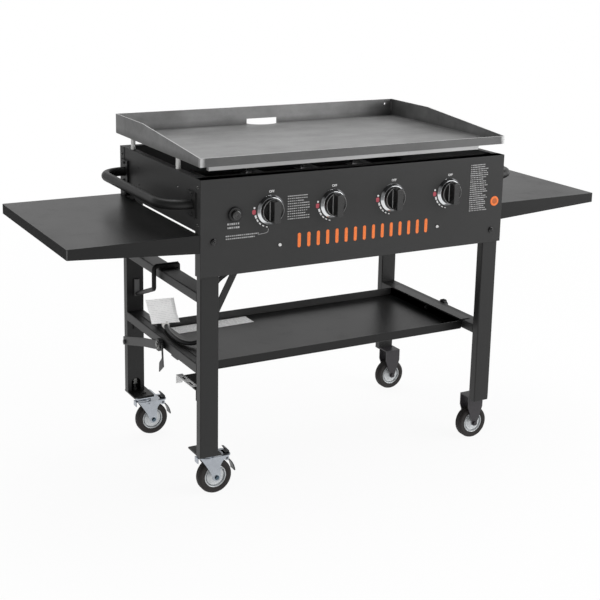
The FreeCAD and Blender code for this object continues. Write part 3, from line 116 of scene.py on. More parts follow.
class Sheet:
    """A node tree that is filled node by node."""

    def __init__(self, tree):
        self.tree = tree
        tree.nodes.clear()

    def socket(self, sockets, name):
        if isinstance(name, int):
            return sockets[name]
        for found in sockets:
            if found.name == name and found.enabled:
                return found
        raise KeyError("no socket " + name)

    def node(self, kind, settings=None, inputs=None, output=0):
        """Adds a node and gives back one output; a list goes into one socket."""
        made = self.tree.nodes.new(kind)
        for name, value in (settings or {}).items():
            setattr(made, name, value)
        for name, value in (inputs or {}).items():
            socket = self.socket(made.inputs, name)
            for part in value if isinstance(value, list) else [value]:
                if isinstance(part, Wire):
                    self.tree.links.new(part.socket, socket)
                else:
                    socket.default_value = part
        return Wire(self, self.socket(made.outputs, output))

    def end(self, kind, socket, wire):
        """Adds the node that the tree ends in."""
        self.tree.links.new(wire.socket, self.tree.nodes.new(kind).inputs[socket])

    def maths(self, operation, *values):
        return self.node("ShaderNodeMath", {"operation": operation}, dict(enumerate(values)))

    def part(self, vector, axis):
        return self.node("ShaderNodeSeparateXYZ", inputs={0: vector}, output=axis)

    def ray(self, kind):
        return self.node("ShaderNodeLightPath", output="Is %s Ray" % kind)

    def glow(self, kind, strength):
        return self.node(kind, inputs={"Color": (1.0, 1.0, 1.0, 1.0), "Strength": strength})

    def blend(self, factor, first, second):
        return self.node("ShaderNodeMixShader", inputs={"Fac": factor, 1: first, 2: second})

    def ramp(self, factor, *stops):
        """Runs between two stops, each a position and the grey level there."""
        wire = self.node("ShaderNodeValToRGB", inputs={"Fac": factor})
        for stop, (position, level) in zip(wire.socket.node.color_ramp.elements, stops):
            stop.position = position
            stop.color = (level, level, level, 1.0)
        return wire


class Finish(Sheet):
    """One material."""

    def __init__(self, name):
        self.material = bpy.data.materials.new(name)
        self.material.use_nodes = True
        super().__init__(self.material.node_tree)

    def place(self, stretch=(1.0, 1.0, 1.0)):
        spot = self.node("ShaderNodeTexCoord", output="Object")
        return self.node("ShaderNodeMapping", inputs={"Vector": spot, "Scale": stretch})

    def axis(self, name):
        return self.part(self.node("ShaderNodeTexCoord", output="Object"), name)

    def cloud(self, scale, detail=2.0, stretch=(1.0, 1.0, 1.0), rough=0.5):
        return self.node("ShaderNodeTexNoise", inputs={
            "Vector": self.place(stretch), "Scale": scale, "Detail": detail,
            "Roughness": rough})

    def mix(self, factor, *colours):
        first, second = [colour if isinstance(colour, Wire) else (*colour, 1.0)
                         for colour in colours]
        return self.node("ShaderNodeMix", {"data_type": "RGBA"},
                         {"Factor": factor, "A": first, "B": second}, "Result")

    def bump(self, height, strength, distance, **below):
        return self.node("ShaderNodeBump", inputs={
            "Height": height, "Strength": strength, "Distance": distance, **below},
            output="Normal")

    def coat(self, tone, **sockets):
        """The surface itself: every socket by its name, with underscores for spaces."""
        inputs = {name.replace("_", " "): value for name, value in sockets.items()}
        inputs["Base Color"] = tone
        return self.done(self.node("ShaderNodeBsdfPrincipled", inputs=inputs))

    def done(self, shader):
        self.end("ShaderNodeOutputMaterial", "Surface", shader)
        return self.material


# Colours

def screen(*levels):
    """Screen levels, 0 to 255, as the linear colour that shaders take; one gives a grey."""
    shares = [level / 255 for level in levels * (3 // len(levels))]
    return tuple(share / 12.92 if share <= 0.04045 else ((share + 0.055) / 1.055) ** 2.4
                 for share in shares)


def shade(colour, factor):
    return tuple(min(1.0, value * factor) for value in colour[:3])


# Finishes

def powder_coat(name, colour, roughness, grain, depth, gleam=0.4):
    """Baked powder paint: orange peel, a slow drift of tone and faint rubbed patches."""
    paint = Finish(name)
    drift = paint.cloud(5.0, 3.0)
    grit = paint.cloud(grain, 3.0, rough=0.6)
    rubbed = paint.ramp(paint.cloud(22.0, 5.0, (1.0, 1.0, 1.6), 0.65), (0.56, 0.0), (0.78, 1.0))
    tone = paint.mix(drift, shade(colour, 0.88), shade(colour, 1.12))
    tone = paint.mix(rubbed * 0.10, tone, shade(colour, 1.9))
    gloss = roughness + (drift - 0.5) * 0.10 + (grit - 0.5) * 0.12 + rubbed * 0.05
    return paint.coat(tone, Roughness=gloss, Specular_IOR_Level=gleam,
                      Normal=paint.bump(grit, depth, 0.0004))


def worn_steel(name, colour, roughness, grain, blotch, cooking=False):
    """Rolled steel: mill-scale clouds, drawn lines along X and small dull spots."""
    steel = Finish(name)
    scale = steel.cloud(7.0, 6.0, (1.0, 1.3, 1.3), 0.62)
    lines = steel.cloud(grain, 3.0, (0.05, 1.0, 1.0), 0.7)
    bands = steel.ramp(steel.cloud(46.0, 4.0, (0.07, 1.0, 1.0), 0.6), (0.38, 0.0), (0.64, 1.0))
    spots = steel.ramp(steel.cloud(95.0, 4.0, rough=0.7), (0.60, 0.0), (0.74, 1.0))
    tone = steel.mix(steel.ramp(scale, (0.36, 0.0), (0.66, 1.0)), shade(colour, 1.0 - blotch),
                     shade(colour, 1.0 + blotch))
    layers = [(lines * 0.30, 0.70), (bands * 0.16, 1.45), (spots * 0.16, 0.45)]
    if cooking:
        # Painted shade: the face of the front rim, in front of LIP_START, is darkened towards a
        # quarter of the steel's tone.
        layers += [((steel.axis("Y") < LIP_START) * 0.80, 0.25), (soot_and_corner_shade(steel) * 0.50, 0.30),
                   (painted_corner_highlights(steel) * 0.8, 2.1)]
    for share, factor in layers:
        tone = steel.mix(share, tone, shade(colour, factor))
    gloss = roughness + (scale - 0.5) * 0.16 + (lines - 0.5) * 0.18 + spots * 0.08
    relief = steel.bump(lines, 0.10, 0.0004, Normal=steel.bump(scale, 0.08, 0.002))
    return steel.coat(tone, Roughness=gloss, Metallic=0.86, Normal=relief)


def rise(steel, distance, width):
    """From 0 to 1 over the width."""
    return steel.ramp(distance / mm(width), (0.0, 0.0), (1.0, 1.0))


def painted_corner_highlights(steel):
    """A painted highlight at the two front corners, where the side walls are welded to the front
    rim.
    """
    ragged = (steel.cloud(60.0, 3.0) - 0.5) * mm(9)
    edge = steel.maths("ABSOLUTE", steel.axis("X")) + ragged
    front = steel.ramp((steel.axis("Y") - TOP_LOW.y) / mm(14), (0.30, 1.0), (1.0, 0.0))
    return rise(steel, edge - (TOP_HIGH.x - mm(13)), 9) * front


def soot_and_corner_shade(steel):
    """Seasoning soot and painted shade where the walls stand on the griddle plate."""
    back = rise(steel, steel.axis("Y") - (TOP_HIGH.y - mm(42)), 34)
    edge = steel.maths("ABSOLUTE", steel.axis("X"))
    sides = rise(steel, edge - (TOP_HIGH.x - mm(24)), 22)
    height = steel.ramp((steel.axis("Z") - (TOP_LOW.z + mm(4))) / mm(16), (0.0, 1.0), (1.0, 0.0))
    return steel.maths("MAXIMUM", back, sides) * height


def bright_plate(name, colour, roughness, metal=1.0, dents=0.06, streaks=0.22):
    """Zinc or nickel plate: faint crystals, rub marks and a little dulling."""
    plate = Finish(name)
    crystals = plate.node("ShaderNodeTexVoronoi", inputs={
        "Vector": plate.place(), "Scale": 260.0}, output="Distance")
    dulling = plate.cloud(45.0, 5.0, rough=0.65)
    tone = plate.mix(dulling, shade(colour, 1.0 - streaks), shade(colour, 1.12))
    tone = plate.mix(crystals * 0.25, tone, shade(colour, 0.80))
    return plate.coat(tone, Roughness=roughness + (dulling - 0.5) * streaks, Metallic=metal,
                      Normal=plate.bump(dulling, dents, 0.0006))


def moulded(name, colour, roughness, grain=900.0, depth=0.05, coat=0.0):
    """Moulded plastic or rubber with a fine skin."""
    skin = Finish(name)
    pits = skin.cloud(grain, 2.0)
    drift = skin.cloud(30.0, 4.0)
    tone = skin.mix(drift, shade(colour, 0.82), shade(colour, 1.2))
    gloss = roughness + (drift - 0.5) * 0.12 + (pits - 0.5) * 0.08
    return skin.coat(tone, Roughness=gloss, Coat_Weight=coat,
                     Normal=skin.bump(pits, depth, 0.0003))


def printed_paper(name, colour, rule_grey, pitch, along, share):
    """Paper with plain uneven grey rules where the print would be, and no letters."""
    paper = Finish(name)
    fibres = paper.cloud(420.0, 4.0)
    creases = paper.cloud(28.0, 3.0)
    rows = paper.maths("FRACT", paper.axis(along) / mm(pitch))
    words = paper.ramp(paper.cloud(170.0, 1.0), (0.42, 0.0), (0.50, 1.0))
    tone = paper.mix(fibres, shade(colour, 0.93), shade(colour, 1.04))
    tone = paper.mix((rows > 0.62) * words * share, tone, screen(rule_grey))
    return paper.coat(tone, Roughness=0.78 + (fibres - 0.5) * 0.2,
                      Normal=paper.bump(creases, 0.25, 0.002))


def ink(name, colour):
    """Screen-printed ink, a little uneven where the powder paint shows through."""
    layer = Finish(name)
    wear = layer.cloud(650.0, 2.0)
    return layer.coat(layer.mix(wear, shade(colour, 0.86), shade(colour, 1.05)),
                      Roughness=0.45 + wear * 0.2, Normal=layer.bump(wear, 0.05, 0.0002))


def make_finishes(colours):
    """Every finish by the name that the pieces ask for."""
    return {
        "panel": powder_coat("panel paint", colours.panel, 0.46, 1500.0, 0.06, gleam=0.24),
        "frame": powder_coat("frame paint", colours.frame, 0.44, 1700.0, 0.05),
        "shelf": powder_coat("shelf paint", colours.shelf, 0.36, 1100.0, 0.10, gleam=0.32),
        # Painted highlight along the shelves' rounded folds.
        "edge": powder_coat("worn shelf edge", screen(74), 0.34, 1100.0, 0.06),
        "shelf_end": powder_coat("dull shelf end", colours.shelf, 0.6, 1100.0, 0.10, gleam=0.12),
        # Painted light on the tray's rear flange, where it faces the front.
        "lip": powder_coat("tray lip paint", screen(62), 0.5, 1100.0, 0.10),
        # Painted light on the front of the bottle hanger's tab.
        "tab": powder_coat("rubbed tab", screen(92), 0.5, 1500.0, 0.10),
        "inside": powder_coat("burner box paint", shade(colours.panel, 0.45), 0.60, 1500.0, 0.06),
        "hanger": powder_coat("hanger paint", screen(12), 0.5, 1700.0, 0.05, gleam=0.3),
        "fork": powder_coat("fork paint", screen(40, 37, 41), 0.40, 1700.0, 0.05, gleam=0.5),
        "steel": worn_steel("cooking steel", colours.steel, 0.42, 900.0, 0.23, cooking=True),
        "bare": worn_steel("bare steel", screen(160), 0.38, 800.0, 0.10),
        # Real ground weld beads, and also a painted highlight on the griddle walls' top edges.
        "weld": worn_steel("ground weld", screen(200), 0.36, 700.0, 0.2),
        "zinc": bright_plate("bright zinc", colours.zinc, 0.20, 0.95, 0.22, 0.42),
        "dull_zinc": bright_plate("dull zinc", screen(236), 0.5, 0.1),
        "rim": bright_plate("rim plate", screen(208, 211, 213), 0.34, 0.4, 0.02),
        "sleeve": bright_plate("post sleeve", screen(232, 232, 230), 0.24, 0.5, 0.02),
        "plated": bright_plate("screw plating", screen(128, 128, 126), 0.30),
        "pale": bright_plate("pale screw plating", screen(246, 246, 244), 0.42, 0.1),
        "brass": bright_plate("brass", screen(196, 164, 96), 0.30),
        "chrome": bright_plate("dial chrome", screen(222, 224, 226), 0.10, 1.0, 0.006, 0.08),
        # Painted highlights on the dials' rims and grips.
        "trim": bright_plate("dial trim", screen(176), 0.4, 0.2),
        "casting": bright_plate("regulator casting", screen(138, 140, 142), 0.55, 0.5),
        "nut": bright_plate("blue zinc nut", screen(84, 100, 112), 0.22, 0.9),
        "brake": moulded("brake lever paint", screen(40, 42, 46), 0.35),
        "dial": moulded("dial plastic", screen(20), 0.28, coat=0.3),
        "knob": moulded("hand screw plastic", screen(30), 0.45),
        "gloss": moulded("glossy black plastic", screen(12), 0.22, coat=0.8),
        "tyre": moulded("tyre rubber", colours.tyre, 0.72, 500.0, 0.12),
        "hose": moulded("hose rubber", screen(24, 24, 25), 0.42, 1200.0, 0.05),
        "ceramic": moulded("white ceramic", screen(225, 222, 214), 0.22, 300.0, 0.02),
        "tag": printed_paper("tag paper", screen(255, 255, 254), 214, 5.8, "Z", 0.40),
        "tie": printed_paper("tag tie", screen(232, 231, 228), 170, 4, "X", 0.8),
        "label": printed_paper("tray label", screen(253), 170, 6.2, "Y", 0.6),
        "white_ink": ink("white ink", screen(226)),
        "small_print": ink("small print ink", screen(168)),
        "red_ink": ink("red ink", screen(176, 72, 84)),
        "accent": ink("accent paint", colours.accent),
        "badge": ink("badge field", shade(colours.accent, 0.55)),
    }


FINISHES = {}


# Objects

def linked(name, data):
    """A new object at the origin."""
    thing = bpy.data.objects.new(name, data)
    bpy.context.scene.collection.objects.link(thing)
    return thing


def as_mesh(thing):
    """What the object's curve or modifiers make, as a plain mesh."""
    bpy.context.view_layer.update()
    graph = bpy.context.evaluated_depsgraph_get()
    return bpy.data.meshes.new_from_object(thing.evaluated_get(graph))


def flattened(piece):
    """Turns the modifiers' result into a plain mesh, so nothing is left to evaluate."""
    mesh = as_mesh(piece)
    mesh.name = piece.name
    piece.modifiers.clear()
    piece.data = mesh
    return piece


def settle(piece, body, slot, *nodes):
    """The piece rides on a body and stands for the CAD nodes; its slot is not used."""
    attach(piece, body)
    if nodes:
        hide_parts(*nodes)
    return piece


def dress(name, bm, finishes, body, slot, *nodes, crease=38.0):
    """A finished piece: faces smooth, edges sharper than the crease in degrees kept hard."""
    bmesh.ops.remove_doubles(bm, verts=bm.verts, dist=MERGE)
    for face in bm.faces:
        face.smooth = True
    for edge in bm.edges:
        hard = len(edge.link_faces) != 2 or edge.calc_face_angle(0.0) > math.radians(crease)
        edge.smooth = not hard
    mesh = bpy.data.meshes.new(name)
    bm.to_mesh(mesh)
    bm.free()
    piece = linked(name, mesh)
    for finish in finishes.split():
        mesh.materials.append(FINISHES[finish])
    even = piece.modifiers.new("even shading", "WEIGHTED_NORMAL")
    even.keep_sharp = True
    return settle(flattened(piece), body, slot, *nodes)


def paint_nodes(finish, *nodes):
    for node in nodes:
        for slot in NODES[node].material_slots:
            slot.material = FINISHES[finish]


# Mesh building

def merged_copy(node):
    """The node's own shape as one mesh with whole faces instead of loose triangles."""
    bm = bmesh.new()
    bm.from_mesh(NODES[node].data)
    bmesh.ops.remove_doubles(bm, verts=bm.verts, dist=2 * MERGE)
    bmesh.ops.dissolve_limit(bm, angle_limit=math.radians(0.6), verts=bm.verts, edges=bm.edges)
    return bm


def islands(bm):
    """Lists of vertices, one for each solid."""
    left = set(bm.verts)
    groups = []
    while left:
        stack = [left.pop()]
        group = list(stack)
        while stack:
            for edge in stack.pop().link_edges:
                for vert in edge.verts:
                    if vert in left:
                        left.remove(vert)
                        group.append(vert)
                        stack.append(vert)
        groups.append(group)
    return groups


def runs_along(edge):
    """The axis that a straight edge follows, or nothing."""
    reach = [abs(value) for value in (edge.verts[0].co - edge.verts[1].co)]
    largest = max(reach)
    if largest < MERGE or sorted(reach)[1] > largest * 0.02:
        return None
    return "xyz"[reach.index(largest)]


def bevel(bm, edges, radius, segments):
    """Rounds the edges and gives back the new faces."""
    return bmesh.ops.bevel(bm, geom=edges, offset=radius, segments=segments, profile=0.5,
                           affect="EDGES", clamp_overlap=True)["faces"]


def at_bottom(middle, low, high):
    return middle.z < low[2] + ON_PLANE


def at_top(middle, low, high):
    return middle.z > high[2] - ON_PLANE


def at_rear_bend(middle, low, high):
    return at_bottom(middle, low, high) and middle.y > high[1] - ON_PLANE


def round_folds(bm, radius, along, where=None, segments=3):
    """Rounds each solid's outermost edges that run along the named axes."""
    chosen = []
    for group in islands(bm):
        low = [min(vert.co[i] for vert in group) for i in range(3)]
        high = [max(vert.co[i] for vert in group) for i in range(3)]
        for edge in {edge for vert in group for edge in vert.link_edges}:
            axis = runs_along(edge)
            if axis is None or axis not in along or len(edge.link_faces) != 2:
                continue
            middle = (edge.verts[0].co + edge.verts[1].co) / 2
            across = [i for i in range(3) if "xyz"[i] != axis]
            outer = all(min(middle[i] - low[i], high[i] - middle[i]) < ON_PLANE / 2
                        for i in across)
            if outer and (where is None or where(middle, low, high)):
                chosen.append(edge)
    bevel(bm, chosen, radius, segments)
    return bm


def lathe(profile, middle, axis="y", segments=64, start=0.0, way=1):
    """A turned solid from (radius, along) pairs in millimetres, along the axis from start."""
    bm = bmesh.new()
    rings = []
    for radius, along in profile:
        ring = []
        level = start + way * mm(along)
        for step in range(segments if radius else 1):
            angle = 2 * math.pi * step / segments
            first, second = mm(radius) * math.cos(angle), mm(radius) * math.sin(angle)
            spot = {"x": (level, middle[1] + first, middle[2] + second),
                    "y": (middle[0] + first, level, middle[2] + second),
                    "z": (middle[0] + first, middle[1] + second, level)}[axis]
            ring.append(bm.verts.new(spot))
        rings.append(ring)
    pairs = list(zip(rings, rings[1:]))
    if len(rings[0]) > 1:
        pairs.append((rings[-1], rings[0]))
    for first, second in pairs:
        for step in range(segments):
            after = (step + 1) % segments
            corners = (first[step % len(first)], second[step % len(second)],
                       second[after % len(second)], first[after % len(first)])
            bm.faces.new(list(dict.fromkeys(corners)))
    bmesh.ops.recalc_face_normals(bm, faces=bm.faces)
    return bm


def slab(outline, depth):
    """A plate from outline points and a depth vector."""
    bm = bmesh.new()
    face = bm.faces.new([bm.verts.new(point) for point in outline])
    made = bmesh.ops.extrude_face_region(bm, geom=[face])
    for item in made["geom"]:
        if isinstance(item, bmesh.types.BMVert):
            item.co += depth
    bmesh.ops.recalc_face_normals(bm, faces=bm.faces)
    return bm


def block(middle, size, radius, segments=2):
    """A box with rounded edges."""
    bm = bmesh.new()
    bmesh.ops.create_cube(bm, size=1.0, matrix=Matrix.LocRotScale(middle, None, size))
    bevel(bm, list(bm.edges), radius, segments)
    return bm


def arc(x, y, radius, first, last, steps):
    """Points of an arc between two angles in degrees, the last one included."""
    angles = [math.radians(first + (last - first) * step / steps) for step in range(steps + 1)]
    return [(x + radius * math.cos(angle), y + radius * math.sin(angle)) for angle in angles]


def fill_grid(bm, grid):
    """Faces between the rows of a grid of vertices."""
    for first, second in zip(grid, grid[1:]):
        for i in range(len(first) - 1):
            bm.faces.new((first[i], first[i + 1], second[i + 1], second[i]))


def join(first, *others):
    for other in others:
        mesh = bpy.data.meshes.new("joined")
        other.to_mesh(mesh)
        other.free()
        first.from_mesh(mesh)
        bpy.data.meshes.remove(mesh)
    return first


def smooth_bar(name, points, radius, roundness, resolution):
    """A curve object: a round bar that follows the points smoothly."""
    curve = bpy.data.curves.new(name, "CURVE")
    curve.dimensions = "3D"
    curve.bevel_depth = radius
    curve.bevel_resolution = roundness
    curve.resolution_u = resolution
    curve.use_fill_caps = True
    spline = curve.splines.new("NURBS")
    spline.points.add(len(points) - 1)
    for point, spot in zip(spline.points, points):
        point.co = (*spot, 1.0)
    spline.order_u = 3
    spline.use_endpoint_u = True
    return linked(name, curve)


def tube(points, radius):
    """The same round bar as a closed mesh."""
    holder = smooth_bar("bar", points, radius, 3, 8)
    bm = bmesh.new()
    bm.from_mesh(as_mesh(holder))
    bpy.data.objects.remove(holder)
    bmesh.ops.remove_doubles(bm, verts=bm.verts, dist=MERGE)
    bmesh.ops.recalc_face_normals(bm, faces=bm.faces)
    return bm


# Geometry node trees for what repeats

class Pattern(Sheet):
    """A geometry node tree with named inputs, which turns seed points into a plain mesh."""

    def __init__(self, name, **entries):
        super().__init__(bpy.data.node_groups.new(name, "GeometryNodeTree"))
        self.entry("Geometry", "Geometry")
        for label, value in entries.items():
            kind = "Int" if isinstance(value, int) else "Float"
            self.entry(label.replace("_", " "), kind).default_value = value
        self.entry("Finish", "Material")
        self.entry("Geometry", "Geometry", "OUTPUT")
        self.start = self.tree.nodes.new("NodeGroupInput")

    def entry(self, label, kind, way="INPUT"):
        return self.tree.interface.new_socket(label, in_out=way, socket_type="NodeSocket" + kind)

    def given(self, *names):
        wires = [Wire(self, self.start.outputs[name]) for name in names]
        return wires if len(wires) > 1 else wires[0]

    def vector(self, x=0.0, y=0.0, z=0.0):
        return self.node("ShaderNodeCombineXYZ", inputs={0: x, 1: y, 2: z})

    def cone(self, sides, top, bottom, depth):
        return self.node("GeometryNodeMeshCone", inputs={
            "Vertices": sides, "Radius Top": top, "Radius Bottom": bottom, "Depth": depth})

    def cube(self, *size):
        return self.node("GeometryNodeMeshCube", inputs={"Size": self.vector(*size)})

    def line(self, count, **step):
        return self.node("GeometryNodeMeshLine", inputs={
            "Count": count, "Offset": self.vector(**step)})

    def moved(self, shape, shift=ORIGIN, turn=ORIGIN):
        return self.node("GeometryNodeTransform", inputs={
            "Geometry": shape, "Translation": shift, "Rotation": turn})

    def joined(self, *shapes):
        return self.node("GeometryNodeJoinGeometry", inputs={0: list(shapes)})

    def facing(self, axis, vector):
        return self.node("FunctionNodeAlignRotationToVector", {"axis": axis}, {"Vector": vector})

    def random(self, smallest, largest, **source):
        return self.node("FunctionNodeRandomValue", {"data_type": "FLOAT"},
                         {"Min": smallest, "Max": largest, **source}, "Value")

    def points(self, mesh):
        return self.node("GeometryNodeMeshToPoints", inputs={"Mesh": mesh})

    def real(self, shapes):
        return self.node("GeometryNodeRealizeInstances", inputs={"Geometry": shapes})

    def on_points(self, points, shape, **more):
        return self.node("GeometryNodeInstanceOnPoints", inputs={
            "Points": points, "Instance": shape, **more})

    def on_seeds(self, shapes):
        """The whole group once at every seed point."""
        return self.on_points(self.points(self.given("Geometry")), self.real(shapes))

    def spread(self, shape):
        """The shape at every seed point, its own Z along the point's facing."""
        facing = self.node("GeometryNodeInputNamedAttribute", {"data_type": "FLOAT_VECTOR"},
                           {"Name": "facing"}, "Attribute")
        return self.on_points(self.points(self.given("Geometry")), shape,
                              Rotation=self.facing("Z", facing))

    def finish(self, shapes):
        """Ends the tree with the shapes made real and the finish on them."""
        coated = self.node("GeometryNodeSetMaterial", inputs={
            "Geometry": self.real(shapes), "Material": self.given("Finish")})
        self.end("NodeGroupOutput", "Geometry", coated)
        return self.tree


def grow(name, tree, finish, spots, body, slot, **values):
    """Runs a tree on points, each with the way that it faces, and keeps the plain mesh."""
    seed = bpy.data.meshes.new(name)
    seed.from_pydata([tuple(spot) for spot, facing in spots], [], [])
    faces = seed.attributes.new("facing", "FLOAT_VECTOR", "POINT")
    for item, (spot, facing) in zip(faces.data, spots):
        item.vector = facing
    piece = linked(name, seed)
    made = piece.modifiers.new("pattern", "NODES")
    made.node_group = tree
    wanted = dict(values, Finish=FINISHES[finish])
    for item in tree.interface.items_tree:
        label = item.name.replace(" ", "_")
        if item.in_out == "INPUT" and label in wanted:
            made[item.identifier] = wanted[label]
    flattened(piece)
    bm = bmesh.new()
    bm.from_mesh(piece.data)
    bmesh.ops.recalc_face_normals(bm, faces=bm.faces)
    bm.to_mesh(piece.data)
    bm.free()
    return settle(piece, body, slot)


INK_DEPTH = mm(0.3)


def screw_heads():
    """A domed head with a cross recess at every point, turned the way that it faces."""
    heads = Pattern("domed screw heads", Head_Radius=mm(4), Head_Height=mm(2), Recess_Share=0.26)
    radius, height, share = heads.given("Head Radius", "Head Height", "Recess Share")
    lower = heads.cone(20, radius * 0.86, radius, height * 0.55)
    upper = heads.cone(20, radius * 0.45, radius * 0.86, height * 0.45)
    body = heads.joined(lower, heads.moved(upper, heads.vector(z=height * 0.55)))
    bar = heads.cube(radius * 1.15, radius * share, height * 0.8)
    bars = [heads.moved(bar, heads.vector(z=height * 0.95), (0.0, 0.0, turn))
            for turn in (0.0, math.pi / 2)]
    cross = heads.node("GeometryNodeMeshBoolean", {"operation": "UNION"}, {1: bars})
    head = heads.node("GeometryNodeMeshBoolean", {"operation": "DIFFERENCE"},
                      {0: body, 1: cross})
    return heads.finish(heads.spread(head))


def bolt_heads():
    """A chamfered hexagon head on a thin washer at every point."""
    heads = Pattern("hexagon heads", Head_Radius=mm(6), Head_Height=mm(4))
    radius, height = heads.given("Head Radius", "Head Height")
    washer = heads.node("GeometryNodeMeshCylinder", inputs={
        "Vertices": 24, "Radius": radius * 1.15, "Depth": height * 0.3})
    hexagon = heads.cone(6, radius, radius, height * 0.75)
    chamfer = heads.moved(heads.cone(6, radius * 0.78, radius, height * 0.25),
                          heads.vector(z=height * 0.75))
    return heads.finish(heads.spread(heads.joined(washer, hexagon, chamfer)))


def ruled_print():
    """Rows of short uneven dashes with a ragged right edge, where small print would be."""
    rows = Pattern("ruled print", Rows=10, Dashes=9, Pitch=mm(6.6), Width=mm(60),
                   Height=mm(2.8), Seed=3)
    pitch, width, dashes, seed = rows.given("Pitch", "Width", "Dashes", "Seed")
    step = width / dashes
    line = rows.line(rows.given("Rows"), z=pitch * -1.0)
    dots = rows.real(rows.on_points(line, rows.line(dashes, x=step)))
    spot = rows.node("GeometryNodeInputPosition")
    number = rows.maths("ROUND", rows.part(spot, "Z") / pitch)
    reach = rows.random(0.66, 1.02, ID=number, Seed=seed)
    kept = rows.node("GeometryNodeDeleteGeometry", {"domain": "POINT"}, {
        "Geometry": dots, "Selection": rows.part(spot, "X") > reach * width})
    stretch = rows.random(0.40, 0.90, Seed=seed)
    dash = rows.cube(step, INK_DEPTH, rows.given("Height"))
    marks = rows.on_points(rows.points(kept), dash, Scale=rows.vector(stretch, 1.0, 1.0))
    return rows.finish(rows.on_seeds(marks))


def dial_scale():
    """Dashes that shrink along an arc from nine o'clock to six o'clock round a dial."""
    scale = Pattern("dial dashes", Dashes=5, Arc_Radius=mm(43.8), First_Angle=math.radians(199),
                    Last_Angle=math.radians(256), Length=mm(8.4), Thickness=mm(5))
    count, radius, first, last = scale.given("Dashes", "Arc Radius", "First Angle", "Last Angle")
    share = scale.node("GeometryNodeInputIndex") / (count - 1.0)
    angle = first + (last - first) * share
    place = scale.vector(radius * scale.maths("COSINE", angle), 0.0,
                         radius * scale.maths("SINE", angle))
    curved = scale.node("GeometryNodeSetPosition", inputs={
        "Geometry": scale.line(count), "Position": place})
    size = 1.0 - share * 0.45
    dash = scale.cube(scale.given("Thickness"), INK_DEPTH, scale.given("Length"))
    marks = scale.on_points(scale.points(curved), dash, Rotation=scale.vector(y=angle * -1.0),
                            Scale=scale.vector(size ** 1.6, 1.0, size))
    return scale.finish(scale.on_seeds(marks))


def rib_ring():
    """A ring of small upright ribs round a point, as on a moulded collar."""
    ring = Pattern("ribbed collar", Ribs=26, Ring_Radius=mm(17.6), Rib_Width=mm(2.2),
                   Rib_Height=mm(7.8))
    count, radius, width, height = ring.given("Ribs", "Ring Radius", "Rib Width", "Rib Height")
    circle = ring.node("GeometryNodeMeshCircle", inputs={"Vertices": count, "Radius": radius})
    turn = ring.facing("X", ring.node("GeometryNodeInputPosition"))
    rib = ring.cone(8, width * 0.35, width * 0.75, height)
    return ring.finish(ring.spread(ring.real(ring.on_points(circle, rib, Rotation=turn))))


def slot_row():
    """A row of plain upright slots with round ends."""
    row = Pattern("row of slots", Slots=15, Pitch=mm(27.7), Slot_Width=mm(9),
                  Slot_Height=mm(40))
    width, height = row.given("Slot Width", "Slot Height")
    outline = row.node("GeometryNodeCurvePrimitiveQuadrilateral", inputs={
        "Width": width, "Height": height})
    outline = row.node("GeometryNodeFilletCurve", {"mode": "POLY"}, {
        "Curve": outline, "Count": 6, "Radius": width * 0.49})
    plate = row.node("GeometryNodeFillCurve", inputs={"Curve": outline})
    front = row.node("GeometryNodeExtrudeMesh", inputs={
        "Mesh": plate, "Offset Scale": INK_DEPTH})
    back = row.node("GeometryNodeFlipFaces", inputs={"Mesh": plate})
    upright = row.moved(row.joined(front, back), turn=(math.pi / 2, 0.0, 0.0))
    line = row.line(row.given("Slots"), x=row.given("Pitch"))
    return row.finish(row.on_seeds(row.on_points(line, upright)))


# Settings

def colour_setting(name, description, *levels):
    return FloatVectorProperty(name=name, description=description, subtype="COLOR",
                               default=screen(*levels), min=0.0, max=1.0)


def length_setting(name, description, default, smallest, largest):
    """A length, its three values in millimetres."""
    return FloatProperty(name=name, description=description, unit="LENGTH",
                         default=mm(default), min=mm(smallest), max=mm(largest))


class GriddleColours(bpy.types.PropertyGroup):
    panel: colour_setting("Panel paint", "Powder paint of the burner box", 47)
    frame: colour_setting("Frame paint", "Satin paint of the legs, bars and handles", 24)
    shelf: colour_setting("Shelf paint", "Textured paint of the shelves and the tray", 13)
    steel: colour_setting("Cooking steel", "Rolled steel of the griddle top", 143)
    zinc: colour_setting("Bright zinc", "Plating of the swivel casters", 178, 183, 190)
    tyre: colour_setting("Tyre rubber", "Rubber of the wheels", 29, 25, 24)
    accent: colour_setting("Accent", "Orange of the panel's slots and badge", 232, 116, 44)


class GriddleSizes(bpy.types.PropertyGroup):
    fold_radius: length_setting("Fold radius", "Outer radius of the folded sheet", 1.8, 0.2, 4)
    tube_radius: length_setting("Tube corner", "Corner radius of the leg tubes", 3, 0.2, 6)
    weld_radius: length_setting("Weld fillet", "Fillet where the griddle's walls meet its plate",
                                1.6, 0.5, 8)
    cove_radius: length_setting("Rear cove", "Bend between the plate and its back wall", 9, 1, 12)
    ink_lift: length_setting("Ink lift", "How far the print stands off the panel", 0.2, 0.05, 1)
    slot_count: IntProperty(name="Slots", description="Plain slots in the panel's accent row",
                            default=15, min=1, max=40)
    accent_height: length_setting("Slot height", "Height of the accent row's slots", 38, 5, 60)


# Stage

CAMERA_PLACE = (-1.6303, -2.8780, 1.4146)
CAMERA_YAW, CAMERA_PITCH, CAMERA_ROLL = [math.radians(angle)
                                         for angle in (-29.185, -12.722, 1.185)]
CAMERA_SHIFT = -0.15
FOCAL_PIXELS = 1208.4
PICTURE_PIXELS = 600
SENSOR_MM = 36.0
LIGHT_TARGET = Vector((0.0, 0.0, 0.5))


